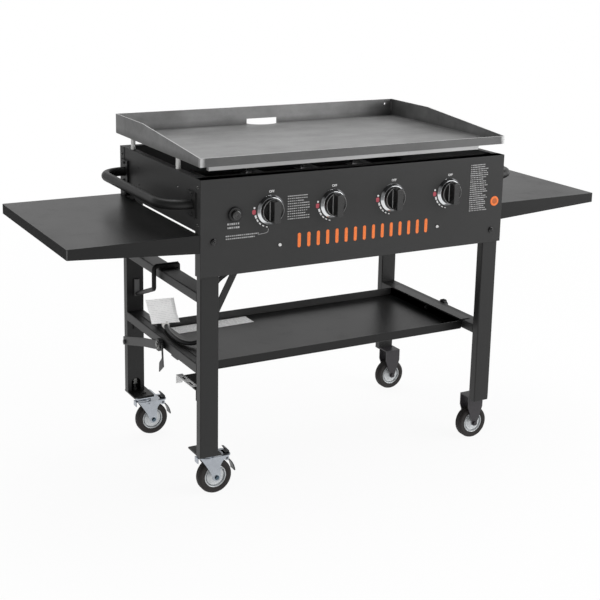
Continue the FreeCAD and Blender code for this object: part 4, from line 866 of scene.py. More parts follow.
class GRIDDLE_OT_stage(bpy.types.Operator):
    """Adds the pale floor, the soft lights, the white surroundings and the camera"""
    bl_idname = "griddle.stage"
    bl_label = "Stage, lights and camera"

    def execute(self, context):
        scene = context.scene
        scene.view_settings.view_transform = "Standard"
        self.add_camera(scene)
        self.add_floor()
        self.add_world(scene)
        self.add_light("key", (2.7, -2.4, 2.0), 3.2, 88.0)
        fill = self.add_light("left fill", (-3.4, -1.6, 0.9), 1.5, 34.0)
        fill.visible_glossy = False
        self.add_light("overhead", (0.2, 0.8, 3.4), 2.4, 50.0)
        return {"FINISHED"}

    def add_camera(self, scene):
        level = math.cos(CAMERA_PITCH)
        back = Vector((math.sin(CAMERA_YAW) * level, -math.cos(CAMERA_YAW) * level,
                       -math.sin(CAMERA_PITCH)))
        right = Vector((math.cos(CAMERA_YAW), math.sin(CAMERA_YAW), 0.0))
        up = back.cross(right)
        turned = right * math.cos(CAMERA_ROLL) + up * math.sin(CAMERA_ROLL)
        raised = up * math.cos(CAMERA_ROLL) - right * math.sin(CAMERA_ROLL)
        data = bpy.data.cameras.new("camera")
        data.sensor_width = SENSOR_MM
        data.lens = FOCAL_PIXELS / PICTURE_PIXELS * SENSOR_MM
        data.shift_y = CAMERA_SHIFT
        data.clip_end = 60.0
        axes = Matrix((turned, raised, back)).transposed().to_4x4()
        scene.camera = linked("camera", data)
        scene.camera.matrix_world = Matrix.Translation(CAMERA_PLACE) @ axes

    def add_floor(self):
        bm = bmesh.new()
        bmesh.ops.create_circle(bm, cap_ends=True, radius=14.0, segments=64)
        mesh = bpy.data.meshes.new("floor")
        bm.to_mesh(mesh)
        bm.free()
        look = Finish("pale floor")
        seen, mirrored = look.ray("Camera"), look.ray("Glossy")
        x, y = look.axis("X"), look.axis("Y")
        far = look.ramp((x * x + y * y) ** 0.5 / 4.0, (0.30, 0.0), (0.72, 1.0))
        dim_left = look.ramp(x * -0.25, (0.30, 1.0), (0.56, 0.3))
        plain = look.node("ShaderNodeBsdfDiffuse", inputs={"Color": (0.80, 0.80, 0.80, 1.0)})
        white = look.glow("ShaderNodeEmission", seen + mirrored * dim_left)
        factor = seen * (0.92 + far * 0.08) + mirrored
        mesh.materials.append(look.done(look.blend(factor, plain, white)))
        linked("floor", mesh)

    def add_world(self, scene):
        """White behind everything; what lights and mirrors is brighter at the right."""
        scene.world = bpy.data.worlds.new("white surroundings")
        scene.world.use_nodes = True
        sky = Sheet(scene.world.node_tree)
        seen, mirrored = sky.ray("Camera"), sky.ray("Glossy")
        way = sky.node("ShaderNodeTexCoord", output="Generated")
        x, y, z = [sky.part(way, axis) for axis in "XYZ"]
        open_side = x * 0.70 + y * 0.55 - z * 0.10
        level = sky.ramp(open_side * 0.5 + 0.5, (0.20, 0.0), (0.85, 1.0))
        ceiling = sky.ramp(z, (0.32, 1.0), (0.62, 0.0))
        gloss = (level * 0.80 + 0.20) * (ceiling * 0.94 + 0.06)
        strength = mirrored * gloss + (1.0 - mirrored) * (level * 0.30 + 0.52)
        lit, white = [sky.glow("ShaderNodeBackground", value) for value in (strength, 1.0)]
        sky.end("ShaderNodeOutputWorld", "Surface", sky.blend(seen, lit, white))

    def add_light(self, name, place, size, power):
        data = bpy.data.lights.new(name, "AREA")
        data.shape = "SQUARE"
        data.size = size
        data.energy = power
        light = linked(name, data)
        light.location = place
        aim = LIGHT_TARGET - Vector(place)
        light.rotation_euler = aim.to_track_quat("-Z", "Y").to_euler()
        return light


# The griddle top

class GRIDDLE_OT_cooking_plate(bpy.types.Operator):
    """Dresses the steel griddle top, its posts and its stiffener bars"""
    bl_idname = "griddle.cooking_plate"
    bl_label = "Griddle top"

    def execute(self, context):
        bm = merged_copy("griddle_top")
        self.round_slot(bm)
        round_folds(bm, mm(12), "x", at_rear_bend, segments=6)
        round_folds(bm, mm(3.8), "xy", at_bottom)
        round_folds(bm, mm(3.2), "z")
        self.round_inner_corners(bm, context.scene.griddle_sizes)
        self.soften_and_highlight_top_edges(bm, mm(0.9))
        dress("steel_top", bm, "steel weld", "griddle", "cooking_steel", "griddle_top",
              crease=30.0)
        self.add_weld_beads()
        paint_nodes("bare", "griddle_supports")
        self.add_post_sleeves()
        return {"FINISHED"}

    def add_post_sleeves(self):
        """The plated sleeves of the four posts between the box and the griddle."""
        sleeves = bmesh.new()
        bottom = mm(833)
        top = (TOP_LOW.z - bottom) * 1000 - 0.2
        for x in (-447.4, 447.4):
            for y in (-130, 178):
                join(sleeves, lathe([(0, 0), (5.9, 0), (6.3, 0.6), (6.3, top - 0.6), (5.9, top),
                                     (0, top)], mm(x, y, 0), "z", 32, bottom))
        dress("post_sleeves", sleeves, "sleeve", "griddle", "bare_steel", crease=50.0)

    def round_slot(self, bm):
        """Draws the front of the grease slot into one broad arc."""
        front, back = TOP_HIGH.y - mm(35), TOP_HIGH.y - mm(3.4)
        deeper, middle, half = mm(4), mm(-2), mm(50)
        straight = [edge for edge in bm.edges if runs_along(edge) == "x"
                    and all(abs(vert.co.y - front) < ON_PLANE for vert in edge.verts)]
        bmesh.ops.subdivide_edges(bm, edges=straight, cuts=14)
        for vert in bm.verts:
            share = ((vert.co.x - middle) / half) ** 2
            if share < 1.01 and front - ON_PLANE < vert.co.y < back:
                reach = back - front + deeper
                vert.co.y = back - reach * math.sqrt(max(0.0, 1.0 - share))

    def add_weld_beads(self):
        """Ground weld beads down the two front corners and up the two rear ones."""
        beads = bmesh.new()
        inset = mm(2)
        for x in (TOP_LOW.x + inset, TOP_HIGH.x - inset):
            join(beads, self.bead((x, TOP_LOW.y + inset), TOP_LOW.z + mm(2), TOP_LOW.z + mm(21)))
            join(beads, self.bead((x, TOP_HIGH.y - inset), TOP_LOW.z + mm(13),
                                  TOP_HIGH.z - inset))
        dress("weld_beads", beads, "weld", "griddle", "bare_steel", crease=60.0)

    def bead(self, spot, bottom, top):
        """One rippled bead, as a turned shape that stands upright."""
        length = (top - bottom) * 1000
        steps = 4 * max(4, round(length / 2.4))
        profile = [(0, 0)]
        for step in range(steps + 1):
            share = step / steps
            swell = math.sin(math.pi * step / 4) ** 2
            taper = min(1.0, 6 * share + 0.4, 6 * (1 - share) + 0.4)
            profile.append(((1.6 + 0.4 * swell) * taper, length * share))
        profile.append((0, length))
        return lathe(profile, (*spot, 0.0), "z", 14, bottom)

    def round_inner_corners(self, bm, sizes):
        """A cove along the back, where the sheet is bent, and weld fillets at the sides."""
        plate_top = TOP_LOW.z + mm(4.5)
        cove, welds = [], []
        for edge in bm.edges:
            if len(edge.link_faces) != 2 or edge.calc_face_angle_signed(0.0) > -0.5:
                continue
            ends = [vert.co for vert in edge.verts]
            middle = (ends[0] + ends[1]) / 2
            near_slot = abs(middle.x) < mm(60) and middle.y > TOP_HIGH.y - mm(45)
            if near_slot or any(abs(end.z - plate_top) >= ON_PLANE for end in ends):
                continue
            at_back = runs_along(edge) == "x" and middle.y > 0
            (cove if at_back else welds).append(edge)
        bevel(bm, welds, sizes.weld_radius, 4)
        bevel(bm, [edge for edge in cove if edge.is_valid], sizes.cove_radius, 7)

    def soften_and_highlight_top_edges(self, bm, radius):
        """Breaks the walls' upper edges and gives them and the rims' tops the bright weld finish
        as a painted highlight.
        """
        chosen = [edge for edge in bm.edges
                  if len(edge.link_faces) == 2 and edge.calc_face_angle_signed(0.0) >= 0.9
                  and all(vert.co.z > TOP_LOW.z + mm(16) for vert in edge.verts)]
        for face in bevel(bm, chosen, radius, 2):
            face.material_index = 1
        bm.normal_update()
        for face in bm.faces:
            if face.normal.z > 0.6 and face.calc_center_median().z > TOP_LOW.z + mm(17):
                face.material_index = 1


# The burner box

class GRIDDLE_OT_burner_box(bpy.types.Operator):
    """Dresses the control panel, the sides, the rear panel and what lies inside"""
    bl_idname = "griddle.burner_box"
    bl_label = "Burner box"

    def execute(self, context):
        fold = context.scene.griddle_sizes.fold_radius
        for node in ("control_panel", "rear_panel"):
            bm = round_folds(merged_copy(node), fold, "xz")
            dress(node + "_skin", bm, "panel", "cart", "black_panel_paint", node)
        for node in ("side_panel_left", "side_panel_right"):
            bm = merged_copy(node)
            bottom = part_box(node)[0].z
            for vert in bm.verts:
                if vert.co.z < bottom + mm(0.5):
                    vert.co.z -= mm(2.4)
            dress(node + "_skin", bm, "panel", "cart", "black_panel_paint", node)
        paint_nodes("inside", "burner_supports")
        paint_nodes("bare", "burners", "manifold_pipe")
        paint_nodes("brass", "gas_valves", *["valve_plug_%d" % number for number in range(1, 5)])
        paint_nodes("ceramic", "igniter_electrodes")
        return {"FINISHED"}


# Print and marks on the panel

SMALL_PRINT = (("lighting_print", -217, 783, 10, 11, 6.5, 64, 2.4, 5),
               ("safety_print", 347, 820, 23, 11, 5.75, 60, 2.5, 8),
               ("igniter_print", -384, 727, 2, 6, 9.5, 34, 4.6, 12),
               ("match_print", -388, 697, 2, 17, 7.0, 92, 3.0, 21))
MATCH_LINE = ((-302, 693), (-292, 694.5), (-281, 695), (-275, 697), (-273, 701), (-273, 706))


class GRIDDLE_OT_panel_marks(bpy.types.Operator):
    """Adds the dial scales, the plain ruled print, the accent slots and the round badge"""
    bl_idname = "griddle.panel_marks"
    bl_label = "Panel marks"

    def execute(self, context):
        sizes = context.scene.griddle_sizes
        self.face = PANEL_FACE - sizes.ink_lift
        on_panel = [(Vector((dial.x, self.face, dial.z)), FRONT) for dial in DIALS]
        grow("dial_scales", dial_scale(), "white_ink", on_panel, "cart", "white_ceramic")
        self.add_high_marks()
        self.add_off_words()
        self.add_print()
        grow("accent_slots", slot_row(), "accent", [(Vector((mm(-184), PANEL_FACE, mm(667))),
             FRONT)], "cart", "white_ceramic", Slots=sizes.slot_count,
             Slot_Height=sizes.accent_height)
        self.add_badge()
        return {"FINISHED"}

    def add_high_marks(self):
        """A red rounded block at nine o'clock with a small white mark above it."""
        blocks, dots = bmesh.new(), bmesh.new()
        for dial in DIALS:
            join(blocks, self.rounded(dial.x - mm(46.5), dial.z - mm(2), mm(10), mm(12.5)))
            join(dots, self.rounded(dial.x - mm(45.5), dial.z + mm(8.5), mm(5), mm(5)))
        dress("high_marks", blocks, "red_ink", "cart", "white_ceramic")
        dress("flame_marks", dots, "white_ink", "cart", "white_ceramic")

    def rounded(self, x, z, width, height):
        """A flat mark with round corners on the panel."""
        corner = min(width, height) * 0.42
        points = []
        for step in range(24):
            angle = 2 * math.pi * (step + 0.5) / 24
            across, up = math.cos(angle), math.sin(angle)
            points.append(Vector((
                x + math.copysign(width / 2 - corner, across) + corner * across, self.face,
                z + math.copysign(height / 2 - corner, up) + corner * up)))
        return slab(points, Vector((0.0, INK_DEPTH, 0.0)))

    def add_off_words(self):
        """The word OFF above every dial."""
        whole = bmesh.new()
        for dial in DIALS:
            word = bpy.data.curves.new("off", "FONT")
            word.body = "OFF"
            word.size = mm(8.4)
            word.offset = mm(0.12)
            word.align_x = "CENTER"
            word.extrude = INK_DEPTH / 2
            holder = linked("off", word)
            mesh = as_mesh(holder)
            spot = Vector((dial.x + mm(2), self.face, dial.z + mm(44)))
            mesh.transform(Matrix.Translation(spot) @ Matrix.Rotation(math.pi / 2, 4, "X"))
            whole.from_mesh(mesh)
            bpy.data.objects.remove(holder)
        dress("off_words", whole, "white_ink", "cart", "white_ceramic")

    def add_print(self):
        """Plain ruled dashes stand where the photograph shows small print."""
        tree = ruled_print()
        for name, x, z, rows, dashes, pitch, width, height, seed in SMALL_PRINT:
            spots = [(Vector((mm(x), self.face, mm(z))), FRONT)]
            grow(name, tree, "small_print", spots, "cart", "white_ceramic", Rows=rows,
                 Dashes=dashes, Pitch=mm(pitch), Width=mm(width), Height=mm(height), Seed=seed)
        line = tube([Vector((mm(x), self.face, mm(z))) for x, z in MATCH_LINE], mm(0.6))
        dress("match_line", line, "small_print", "cart", "white_ceramic")

    def add_badge(self):
        """The plain round badge: a raised lighter ring round a darker field."""
        middle = mm(430.6, 0, 714.5)
        rim = [(8, 0), (13.6, 0), (13.6, 0.8), (12.6, 1.2), (8.4, 1.2), (8, 0.8)]
        field = [(0, 0), (8, 0), (8, 0.6), (0, 0.7)]
        for name, profile, finish in (("badge_rim", rim, "accent"),
                                      ("badge_field", field, "badge")):
            dress(name, lathe(profile, middle, "y", 48, PANEL_FACE, -1), finish, "cart",
                  "white_ceramic", crease=25.0)


# Dials and igniter

DIAL_BACK = PANEL_FACE - mm(5)
DIAL_FRONT = PANEL_FACE - mm(37)
DIAL_SKIRT = ((0, 0), (30.5, 0), (30.5, 9), (30.2, 10.6), (29.3, 11.6), (28, 12), (26.8, 11.8),
              (25, 10.6), (23, 10), (0, 9.6))
DIAL_STEM = ((0, -21.8), (3.9, -21.8), (3.9, 2), (0, 2))
DIAL_PAINTED_GLINT = ((28.4, 11.8), (28.9, 12.1), (29.3, 11.6), (28.8, 11.2))
DIAL_RING = ((38, 0), (38, 1.2), (37.6, 1.9), (32.3, 7.6), (31.6, 7.8), (31.4, 7.2), (31.4, 0))
BUTTON_FACE = ((4, 8), (12, 8), (12, 2.2), (11.4, 0.9), (10.2, 0.2), (8.6, 0), (8, 0.8),
               (6.4, 0.8), (5.8, 0), (4.2, 0.1), (3.6, 0.9), (0, 1.1))


class GRIDDLE_OT_dials(bpy.types.Operator):
    """Replaces the four dials, their chrome rings and the igniter's button"""
    bl_idname = "griddle.dials"
    bl_label = "Dials and igniter"

    def execute(self, context):
        for number, dial in enumerate(DIALS, start=1):
            self.add_dial(number, dial)
        self.add_rings()
        self.add_button()
        paint_nodes("knob", "igniter_module")
        return {"FINISHED"}

    def add_dial(self, number, dial):
        """The dial itself, its white pointer mark, and pale lines painted as highlights on its
        rim and grip.
        """
        node = "knob_%d" % number
        skirt, stem, trim = [lathe(profile, dial, "y", segments, DIAL_BACK, -1)
                             for profile, segments in ((DIAL_SKIRT, 72), (DIAL_STEM, 24),
                                                       (DIAL_PAINTED_GLINT, 96))]
        whole = join(skirt, self.grip(dial, DIAL_BACK - mm(8), DIAL_FRONT), stem)
        dress("dial_%d" % number, whole, "dial", node, "black_plastic", node, crease=32.0)
        mark = block(Vector((dial.x, DIAL_BACK - mm(11.6), dial.z + mm(26))),
                     mm(4.6, 1.2, 3.4), mm(0.2))
        dress("dial_mark_%d" % number, mark, "white_ink", node, "white_ceramic")
        # Painted highlights: a thin pale ring on the skirt's rim and a pale line down the grip's
        # side.
        edge = block(Vector((dial.x - mm(10), DIAL_BACK - mm(10.6), dial.z)),
                     mm(0.9, 2.4, 50), mm(0.5))
        dress("dial_trim_%d" % number, join(trim, edge), "trim", node, "chrome")

    def grip(self, dial, back, front):
        """The finger bar across the dial, drawn in along its sides."""
        outline = []
        reach, half = mm(28.5), mm(9.6)
        swing = math.asin(half / reach)
        for end in (1, -1):
            for step in range(9):
                angle = end * math.pi / 2 - swing + 2 * swing * step / 8
                outline.append((reach * math.cos(angle), reach * math.sin(angle)))
            for share in (0.3, 0.5, 0.7):
                level = end * reach * math.cos(swing) * (1 - 2 * share)
                outline.append((-end * (half - mm(0.6) * math.sin(math.pi * share)), level))
        bm = bmesh.new()
        rings = []
        for depth, scale in ((back, 1.03), (front + mm(1.8), 1.0), (front + mm(0.5), 0.98),
                             (front, 0.93)):
            ring = [bm.verts.new((dial.x + x * scale, depth, dial.z + z * scale))
                    for x, z in outline]
            rings.append(ring + ring[:1])
        fill_grid(bm, rings)
        for ring in (rings[0], rings[-1]):
            bm.faces.new(ring[:-1])
        bmesh.ops.recalc_face_normals(bm, faces=bm.faces)
        return bm

    def add_rings(self):
        """Polished rings that rise in a soft slope from the panel to the dial."""
        rings = bmesh.new()
        for dial in DIALS:
            join(rings, lathe(DIAL_RING, dial, "y", 96, PANEL_FACE, -1))
        dress("dial_rings", rings, "chrome", "cart", "chrome", "knob_bezels", crease=28.0)

    def add_button(self):
        low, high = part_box("igniter_button")
        back = (high.y - low.y) * 1000
        button = lathe(((0, back), (4, back)) + BUTTON_FACE, SPARK, "y", 48, low.y)
        dress("spark_button", button, "gloss", "igniter_button", "black_plastic",
              "igniter_button", crease=40.0)
        grow("spark_collar", rib_ring(), "gloss",
             [(Vector((SPARK.x, PANEL_FACE, SPARK.z)), FRONT)], "cart", "black_plastic")


# Handles and shelves

class GRIDDLE_OT_shelves(bpy.types.Operator):
    """Dresses the two side shelves and the two tube handles"""
    bl_idname = "griddle.shelves"
    bl_label = "Shelves and handles"

    def execute(self, context):
        fold = context.scene.griddle_sizes.fold_radius
        for side in ("left", "right"):
            bm = round_folds(merged_copy("shelf_" + side), fold, "xy", at_top)
            bm.normal_update()
            # Painted highlight: the rounded folds take the lighter edge paint; the end faces take
            # the duller end paint.
            for face in bm.faces:
                if max(abs(value) for value in face.normal) < 0.98:
                    face.material_index = 1
                elif abs(face.normal.x) > 0.98:
                    face.material_index = 2
            dress("shelf_%s_skin" % side, bm, "shelf edge shelf_end", "cart",
                  "black_shelf_paint", "shelf_" + side, crease=30.0)
            dress("handle_%s_skin" % side, merged_copy("handle_" + side), "frame", "cart",
                  "black_frame_paint", "handle_" + side, crease=30.0)
        return {"FINISHED"}


# Legs, bars and tray

class GRIDDLE_OT_frame(bpy.types.Operator):
    """Dresses the legs and bars, and adds the hanger's hook end and its tab's face"""
    bl_idname = "griddle.frame_tubes"
    bl_label = "Legs and bars"

    def execute(self, context):
        corner = context.scene.griddle_sizes.tube_radius
        for place in sorted(WHEELS):
            self.add_tube("leg_%s_tube" % place, "leg_" + place, corner, "z")
        self.add_tube("crossbar_tubes", "crossbars", corner, "y")
        paint_nodes("frame", "leg_stay", "leg_bracket", "bottle_bow", "caster_foot_plates")
        paint_nodes("hanger", "bottle_hanger")
        route = ((-430, 559.4), (-404, 559.4), (-396.6, 558.6), (-396.6, 553), (-396.6, 536))
        hook = tube([mm(x, -8, z) for x, z in route], mm(6.2))
        dress("hanger_hook", hook, "hanger", "cart", "black_frame_paint")
        self.add_tab_face()
        paint_nodes("fork", "fixed_forks")
        paint_nodes("dull_zinc", "slotted_clip")
        return {"FINISHED"}

    def add_tube(self, name, node, corner, along):
        bm = round_folds(merged_copy(node), corner, along, segments=4)
        dress(name, bm, "frame", "cart", "black_frame_paint", node, crease=30.0)

    def add_tab_face(self):
        """Painted light on the front of the tab that carries the bottle hanger's foot."""
        points = ((-433, 413), (-418, 413), (-418, 461), (-433, 461))
        face = slab([mm(x, 217, z) for x, z in points], mm(0, -0.4, 0))
        dress("hanger_tab_face", face, "tab", "cart", "black_frame_paint")


class GRIDDLE_OT_bottom_tray(bpy.types.Operator):
    """Dresses the bottom tray and adds the label strip on its floor"""
    bl_idname = "griddle.bottom_tray"
    bl_label = "Bottom tray"

    def execute(self, context):
        fold = context.scene.griddle_sizes.fold_radius
        bm = round_folds(merged_copy("bottom_tray"), fold, "x", at_bottom)
        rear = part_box("bottom_tray")[1].y
        bm.normal_update()
        # Painted light: the rear flange's inner face, which faces the front, takes the lighter
        # lip paint.
        for face in bm.faces:
            if face.normal.y < -0.7 and face.calc_center_median().y > rear - mm(5):
                face.material_index = 1
        dress("tray_skin", bm, "shelf lip", "cart", "black_shelf_paint", "bottom_tray",
              crease=30.0)
        corners = ((-363, 93), (-113, 97), (-113, 155), (-363, 151))
        strip = slab([mm(x, y, 326.6) for x, y in corners], mm(0, 0, 0.25))
        dress("tray_label", strip, "label", "cart", "tag_paper")
        return {"FINISHED"}


SCREW_NOSE = ((0, -1), (11.4, -1), (11.4, 0.8), (10.6, 1.8), (9.2, 1.8), (8.2, 0.6), (5.6, 0.6),
              (5.2, 3), (4.2, 3.4), (0, 3.4))


class GRIDDLE_OT_hand_screws(bpy.types.Operator):
    """Dresses the tray's round hand knob and the wing screw, each with a plated nose"""
    bl_idname = "griddle.hand_screws"
    bl_label = "Hand screws"

    def execute(self, context):
        for node in ("tray_knob", "wing_screw"):
            dress(node + "_grip", merged_copy(node), "knob", node, "black_plastic", node,
                  crease=30.0)
        low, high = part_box("wing_screw")[0].x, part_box("tray_knob")[1].x
        self.add_nose("tray_knob", high, 1, mm(0, -36, 341))
        self.add_nose("wing_screw", low, -1, mm(0, -37, 352))
        return {"FINISHED"}

    def add_nose(self, node, face, way, middle):
        """A plated collar with a raised rim, which carries the screw through its grip."""
        nose = lathe(SCREW_NOSE, middle, "x", 36, face, way)
        dress(node + "_nose", nose, "plated", node, "zinc", crease=30.0)


# Casters

SWIVEL_TRAIL = mm(24)
PIN_CAP = ((0, -1), (10, -1), (10, 1.4), (8.6, 3), (4, 3.8), (0, 4))
BALL_RACE = ((6.2, 0), (20, 0), (21.6, 3.4), (22, 5.6), (21.2, 8.2), (18.4, 9.4), (17.8, 10.4),
             (20, 11.2), (21.4, 13), (21.4, 15), (20.4, 16.5), (6.2, 16.5))
AXLE = ((0, -24), (3.9, -24), (3.9, 24), (0, 24))
AXLE_WASHER = ((4.2, 19), (9.4, 19), (9.4, 20), (8.8, 20.4), (4.2, 20.4))
LEVER_EAR = ((3.1, 16.7), (6.4, 16.7), (6.8, 17.2), (6.8, 19), (6.4, 19.5), (3.1, 19.5))
TYRE_HALF = ((33, -8), (29.8, -10), (30.2, -11.2), (33, -12.4), (38, -13.3), (41, -13.5),
             (43.6, -12.6), (45.3, -10.6), (46.2, -8), (46.49, -7.2), (45.3, -6.7),
             (45.3, -5.7), (46.49, -5.2), (46.49, -0.9), (45.3, -0.5))
RIM_HALF = ((4.05, -15.5), (8.6, -15.5), (9, -15), (9.2, -11.4), (10.4, -10), (13.4, -9.2),
            (18, -8.8), (21.6, -9.2), (23.6, -9.8), (24.4, -9.2), (24.8, -4.6), (26.8, -4.6),
            (27.3, -11), (28, -12.1), (29.2, -12.4), (30, -11.6), (29.9, -9), (33, -7.8))
CHEEK_ROWS, CHEEK_COLUMNS = 28, 22
CHEEK_SKINS = (mm(16.6), mm(19.4))
CHEEK_HUB = mm(11)
CHEEK_FOOT_SHARE = 0.25


def mirrored(half):
    """A profile whose second half is the first one turned round."""
    return half + tuple((radius, -along) for radius, along in reversed(half))


class GRIDDLE_OT_casters(bpy.types.Operator):
    """Replaces the wheels and dresses the yokes, plates and brake levers"""
    bl_idname = "griddle.casters"
    bl_label = "Casters"

    def execute(self, context):
        for place in WHEELS:
            self.add_wheel(place)
        for place in SWIVELS:
            self.add_yoke(place)
        foot_nuts = [(mm(-429, y, z), UP) for y in (-268.5, 234.5) for z in (148, 156)]
        grow("foot_nuts", bolt_heads(), "plated", foot_nuts, "cart", "zinc",
             Head_Radius=mm(8), Head_Height=mm(6))
        paint_nodes("zinc", "caster_top_plates")
        paint_nodes("brake", "brake_lever_front_left", "brake_lever_rear_left")
        for place in SWIVELS:
            self.add_pin_cap(place)
        return {"FINISHED"}

    def pivot(self, wheel):
        return Vector((wheel.x - SWIVEL_TRAIL, wheel.y, 0.0))

    def add_pin_cap(self, place):
        """A painted cap over the king pin, where it comes through the foot plate."""
        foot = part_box("caster_foot_plates")[1].z
        cap = lathe(PIN_CAP, self.pivot(centre("tyre_" + place)), "z", 32, foot)
        dress("pin_cap_" + place, cap, "frame", "cart", "black_frame_paint", crease=50.0)

    def add_yoke(self, place):
        """The pressed swivel fork: head, ball race, two fluted cheeks and the axle."""
        wheel = centre("tyre_" + place)
        pivot = self.pivot(wheel)
        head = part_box("tyre_" + place)[1].z + mm(9)
        parts = [self.cheek(pivot, wheel, head, side) for side in (-1, 1)]
        ear = pivot + Vector((mm(53), 0.0, head - mm(7)))
        parts += [lathe(LEVER_EAR, ear, "y", 32, pivot.y, side) for side in (-1, 1)]
        parts.append(self.head_plate(pivot, head))
        parts.append(lathe(BALL_RACE, pivot, "z", 48, head))
        tail = pivot + Vector((mm(-24.4), 0.0, head - mm(5)))
        parts.append(block(tail, mm(3, 20, 16), mm(1.4), 3))
        parts.append(lathe(AXLE, wheel, "y", 24, wheel.y))
        parts += [lathe(AXLE_WASHER, wheel, "y", 32, wheel.y, side) for side in (-1, 1)]
        body = "caster_" + place
        dress("yoke_%s_pressing" % place, join(*parts), "zinc", body, "zinc", "yoke_" + place,
              crease=34.0)
        ends = [(Vector((wheel.x, wheel.y + facing.y * mm(20.6), wheel.z)), facing)
                for facing in (FRONT, BACK)]
        grow("axle_nuts_" + place, bolt_heads(), "nut", ends, body, "zinc",
             Head_Radius=mm(5.6), Head_Height=mm(4))

    def cheek(self, pivot, wheel, head, side):
        """One side of the fork, drawn in to the axle and bent round its rear edge."""
        bm = bmesh.new()
        skins = []
        for depth in CHEEK_SKINS:
            grid = []
            for row in range(CHEEK_ROWS + 1):
                z, left, right, climb = self.cheek_level(row / CHEEK_ROWS, pivot, wheel, head)
                verts = []
                for column in range(CHEEK_COLUMNS + 1):
                    across = column / CHEEK_COLUMNS
                    x = left + (right - left) * across
                    out = depth + self.cheek_bulge(x, left, right, climb, pivot)
                    verts.append(bm.verts.new((x, pivot.y + side * out, z)))
                grid.append(verts)
            fill_grid(bm, grid)
            skins.append(grid)
        for rim in zip(self.rims_of(skins[0]), self.rims_of(skins[1])):
            fill_grid(bm, rim)
        bmesh.ops.recalc_face_normals(bm, faces=bm.faces)
        return bm

    def cheek_level(self, share, pivot, wheel, head):
        """Height, left and right end of one row, and its share of the way up from the axle."""
        foot = min(1.0, share / CHEEK_FOOT_SHARE) * math.pi / 2
        climb = max(0.0, share - CHEEK_FOOT_SHARE) / (1 - CHEEK_FOOT_SHARE)
        if climb == 0:
            half = CHEEK_HUB * math.sin(foot) + mm(0.3)
            return wheel.z - CHEEK_HUB * math.cos(foot), wheel.x - half, wheel.x + half, climb
        z = wheel.z + (head + mm(0.6) - wheel.z) * climb
        left = wheel.x - CHEEK_HUB
        left += (pivot.x - mm(19) - left) * climb ** 1.25
        right = wheel.x + CHEEK_HUB + mm(22) * max(0.0, (climb - 0.52) / 0.48) ** 1.7
        return z, left, right, climb

    def cheek_bulge(self, x, left, right, climb, pivot):
        """How far the cheek stands out: less round its rear edge, more along its rib."""
        bend = max(0.0, pivot.x + mm(7) - x)
        inward = bend * bend / (bend + mm(3)) * 0.20
        off_line = (x - left - (right - left) * 0.42) / mm(3.4)
        fade = min(1.0, climb * 5) * min(1.0, (1.0 - climb) * 8)
        return mm(2.3) * math.exp(-off_line ** 2) * fade - inward

    def rims_of(self, grid):
        """The four border lines of one skin of a cheek."""
        return grid[0], grid[-1], [row[0] for row in grid], [row[-1] for row in grid]

    def head_plate(self, pivot, head):
        """The fork's head: round at the swivel, square at the lever, with the lever's notch."""
        half, corner, front, notch, notch_end = mm(23.5), mm(11.75), mm(65), mm(12.9), mm(48)
        points = arc(0, 0, half, 90, 270, 18)
        points += arc(front - corner, corner - half, corner, -90, 0, 6)
        points += [(front, -notch), (notch_end, -notch), (notch_end, notch), (front, notch)]
        points += arc(front - corner, half - corner, corner, 0, 90, 6)
        plate = slab([Vector((pivot.x + x, pivot.y + y, head)) for x, y in points], UP * mm(3))
        level = [edge for edge in plate.edges
                 if abs(edge.verts[0].co.z - edge.verts[1].co.z) < MERGE]
        bevel(plate, level, mm(0.7), 2)
        return plate

    def add_wheel(self, place):
        wheel = centre("tyre_" + place)
        body = "wheel_" + place
        tyre = lathe(mirrored(TYRE_HALF), wheel, "y", 96, wheel.y)
        dress("tread_" + place, tyre, "tyre", body, "tyre", "tyre_" + place, crease=50.0)
        rim = lathe(mirrored(RIM_HALF), wheel, "y", 72, wheel.y)
        dress("wheel_disc_" + place, rim, "rim", body, "rim_plastic", "rim_" + place, crease=45.0)


# Gas side, cup and tag

HOSE_ROUTE = ((-300, -262, 708), (-300, -262, 632), (-344, -212, 584), (-361, -166, 545),
              (-366, -154, 505), (-367, -152, 463), (-371, -152, 425), (-382, -150, 397),
              (-401, -143, 381), (-421, -126, 376.5), (-430, -96, 376), (-430.5, -60, 376),
              (-426, -14, 376.2), (-414, 35, 378.5), (-405, 68, 382))
BONNET = ((0, 1), (5, 1), (5.6, 0), (8, 0), (8.6, 1.4), (18.5, 1.8), (21, 3), (24, 9),
          (24.4, 11), (25.8, 11.4), (26, 12.4), (26, 15), (25.6, 15.8), (24, 16.2), (22.6, 20),
          (15.4, 27), (14, 28), (0, 28))
BOTTLE_NUT = ((0, 0), (9.6, 0), (11, 1.4), (11, 10), (8, 13), (0, 13))
FERRULE = ((0, -12), (7.2, -12), (7.2, -9), (6.6, -8.4), (7.2, -7.8), (7.2, -4.8), (6.6, -4.2),
           (7.2, -3.6), (7, 0), (7, 18), (5.6, 25), (0, 25))
PAPER_WRAP = ((5.6, -9), (8, -8.6), (10, -5), (9, -2), (10.6, 1.4), (9.4, 4), (10, 6.4), (8, 9),
              (5.6, 9))
TAG_TOP = (mm(-453.1, 84.3, 440.5), mm(-399.5, 23.6, 457))
TAG_HEM = (mm(-448.6, 53.5, 379.8), mm(-392.8, -8.6, 396.5))
TAG_COLUMNS, TAG_ROWS = 26, 18


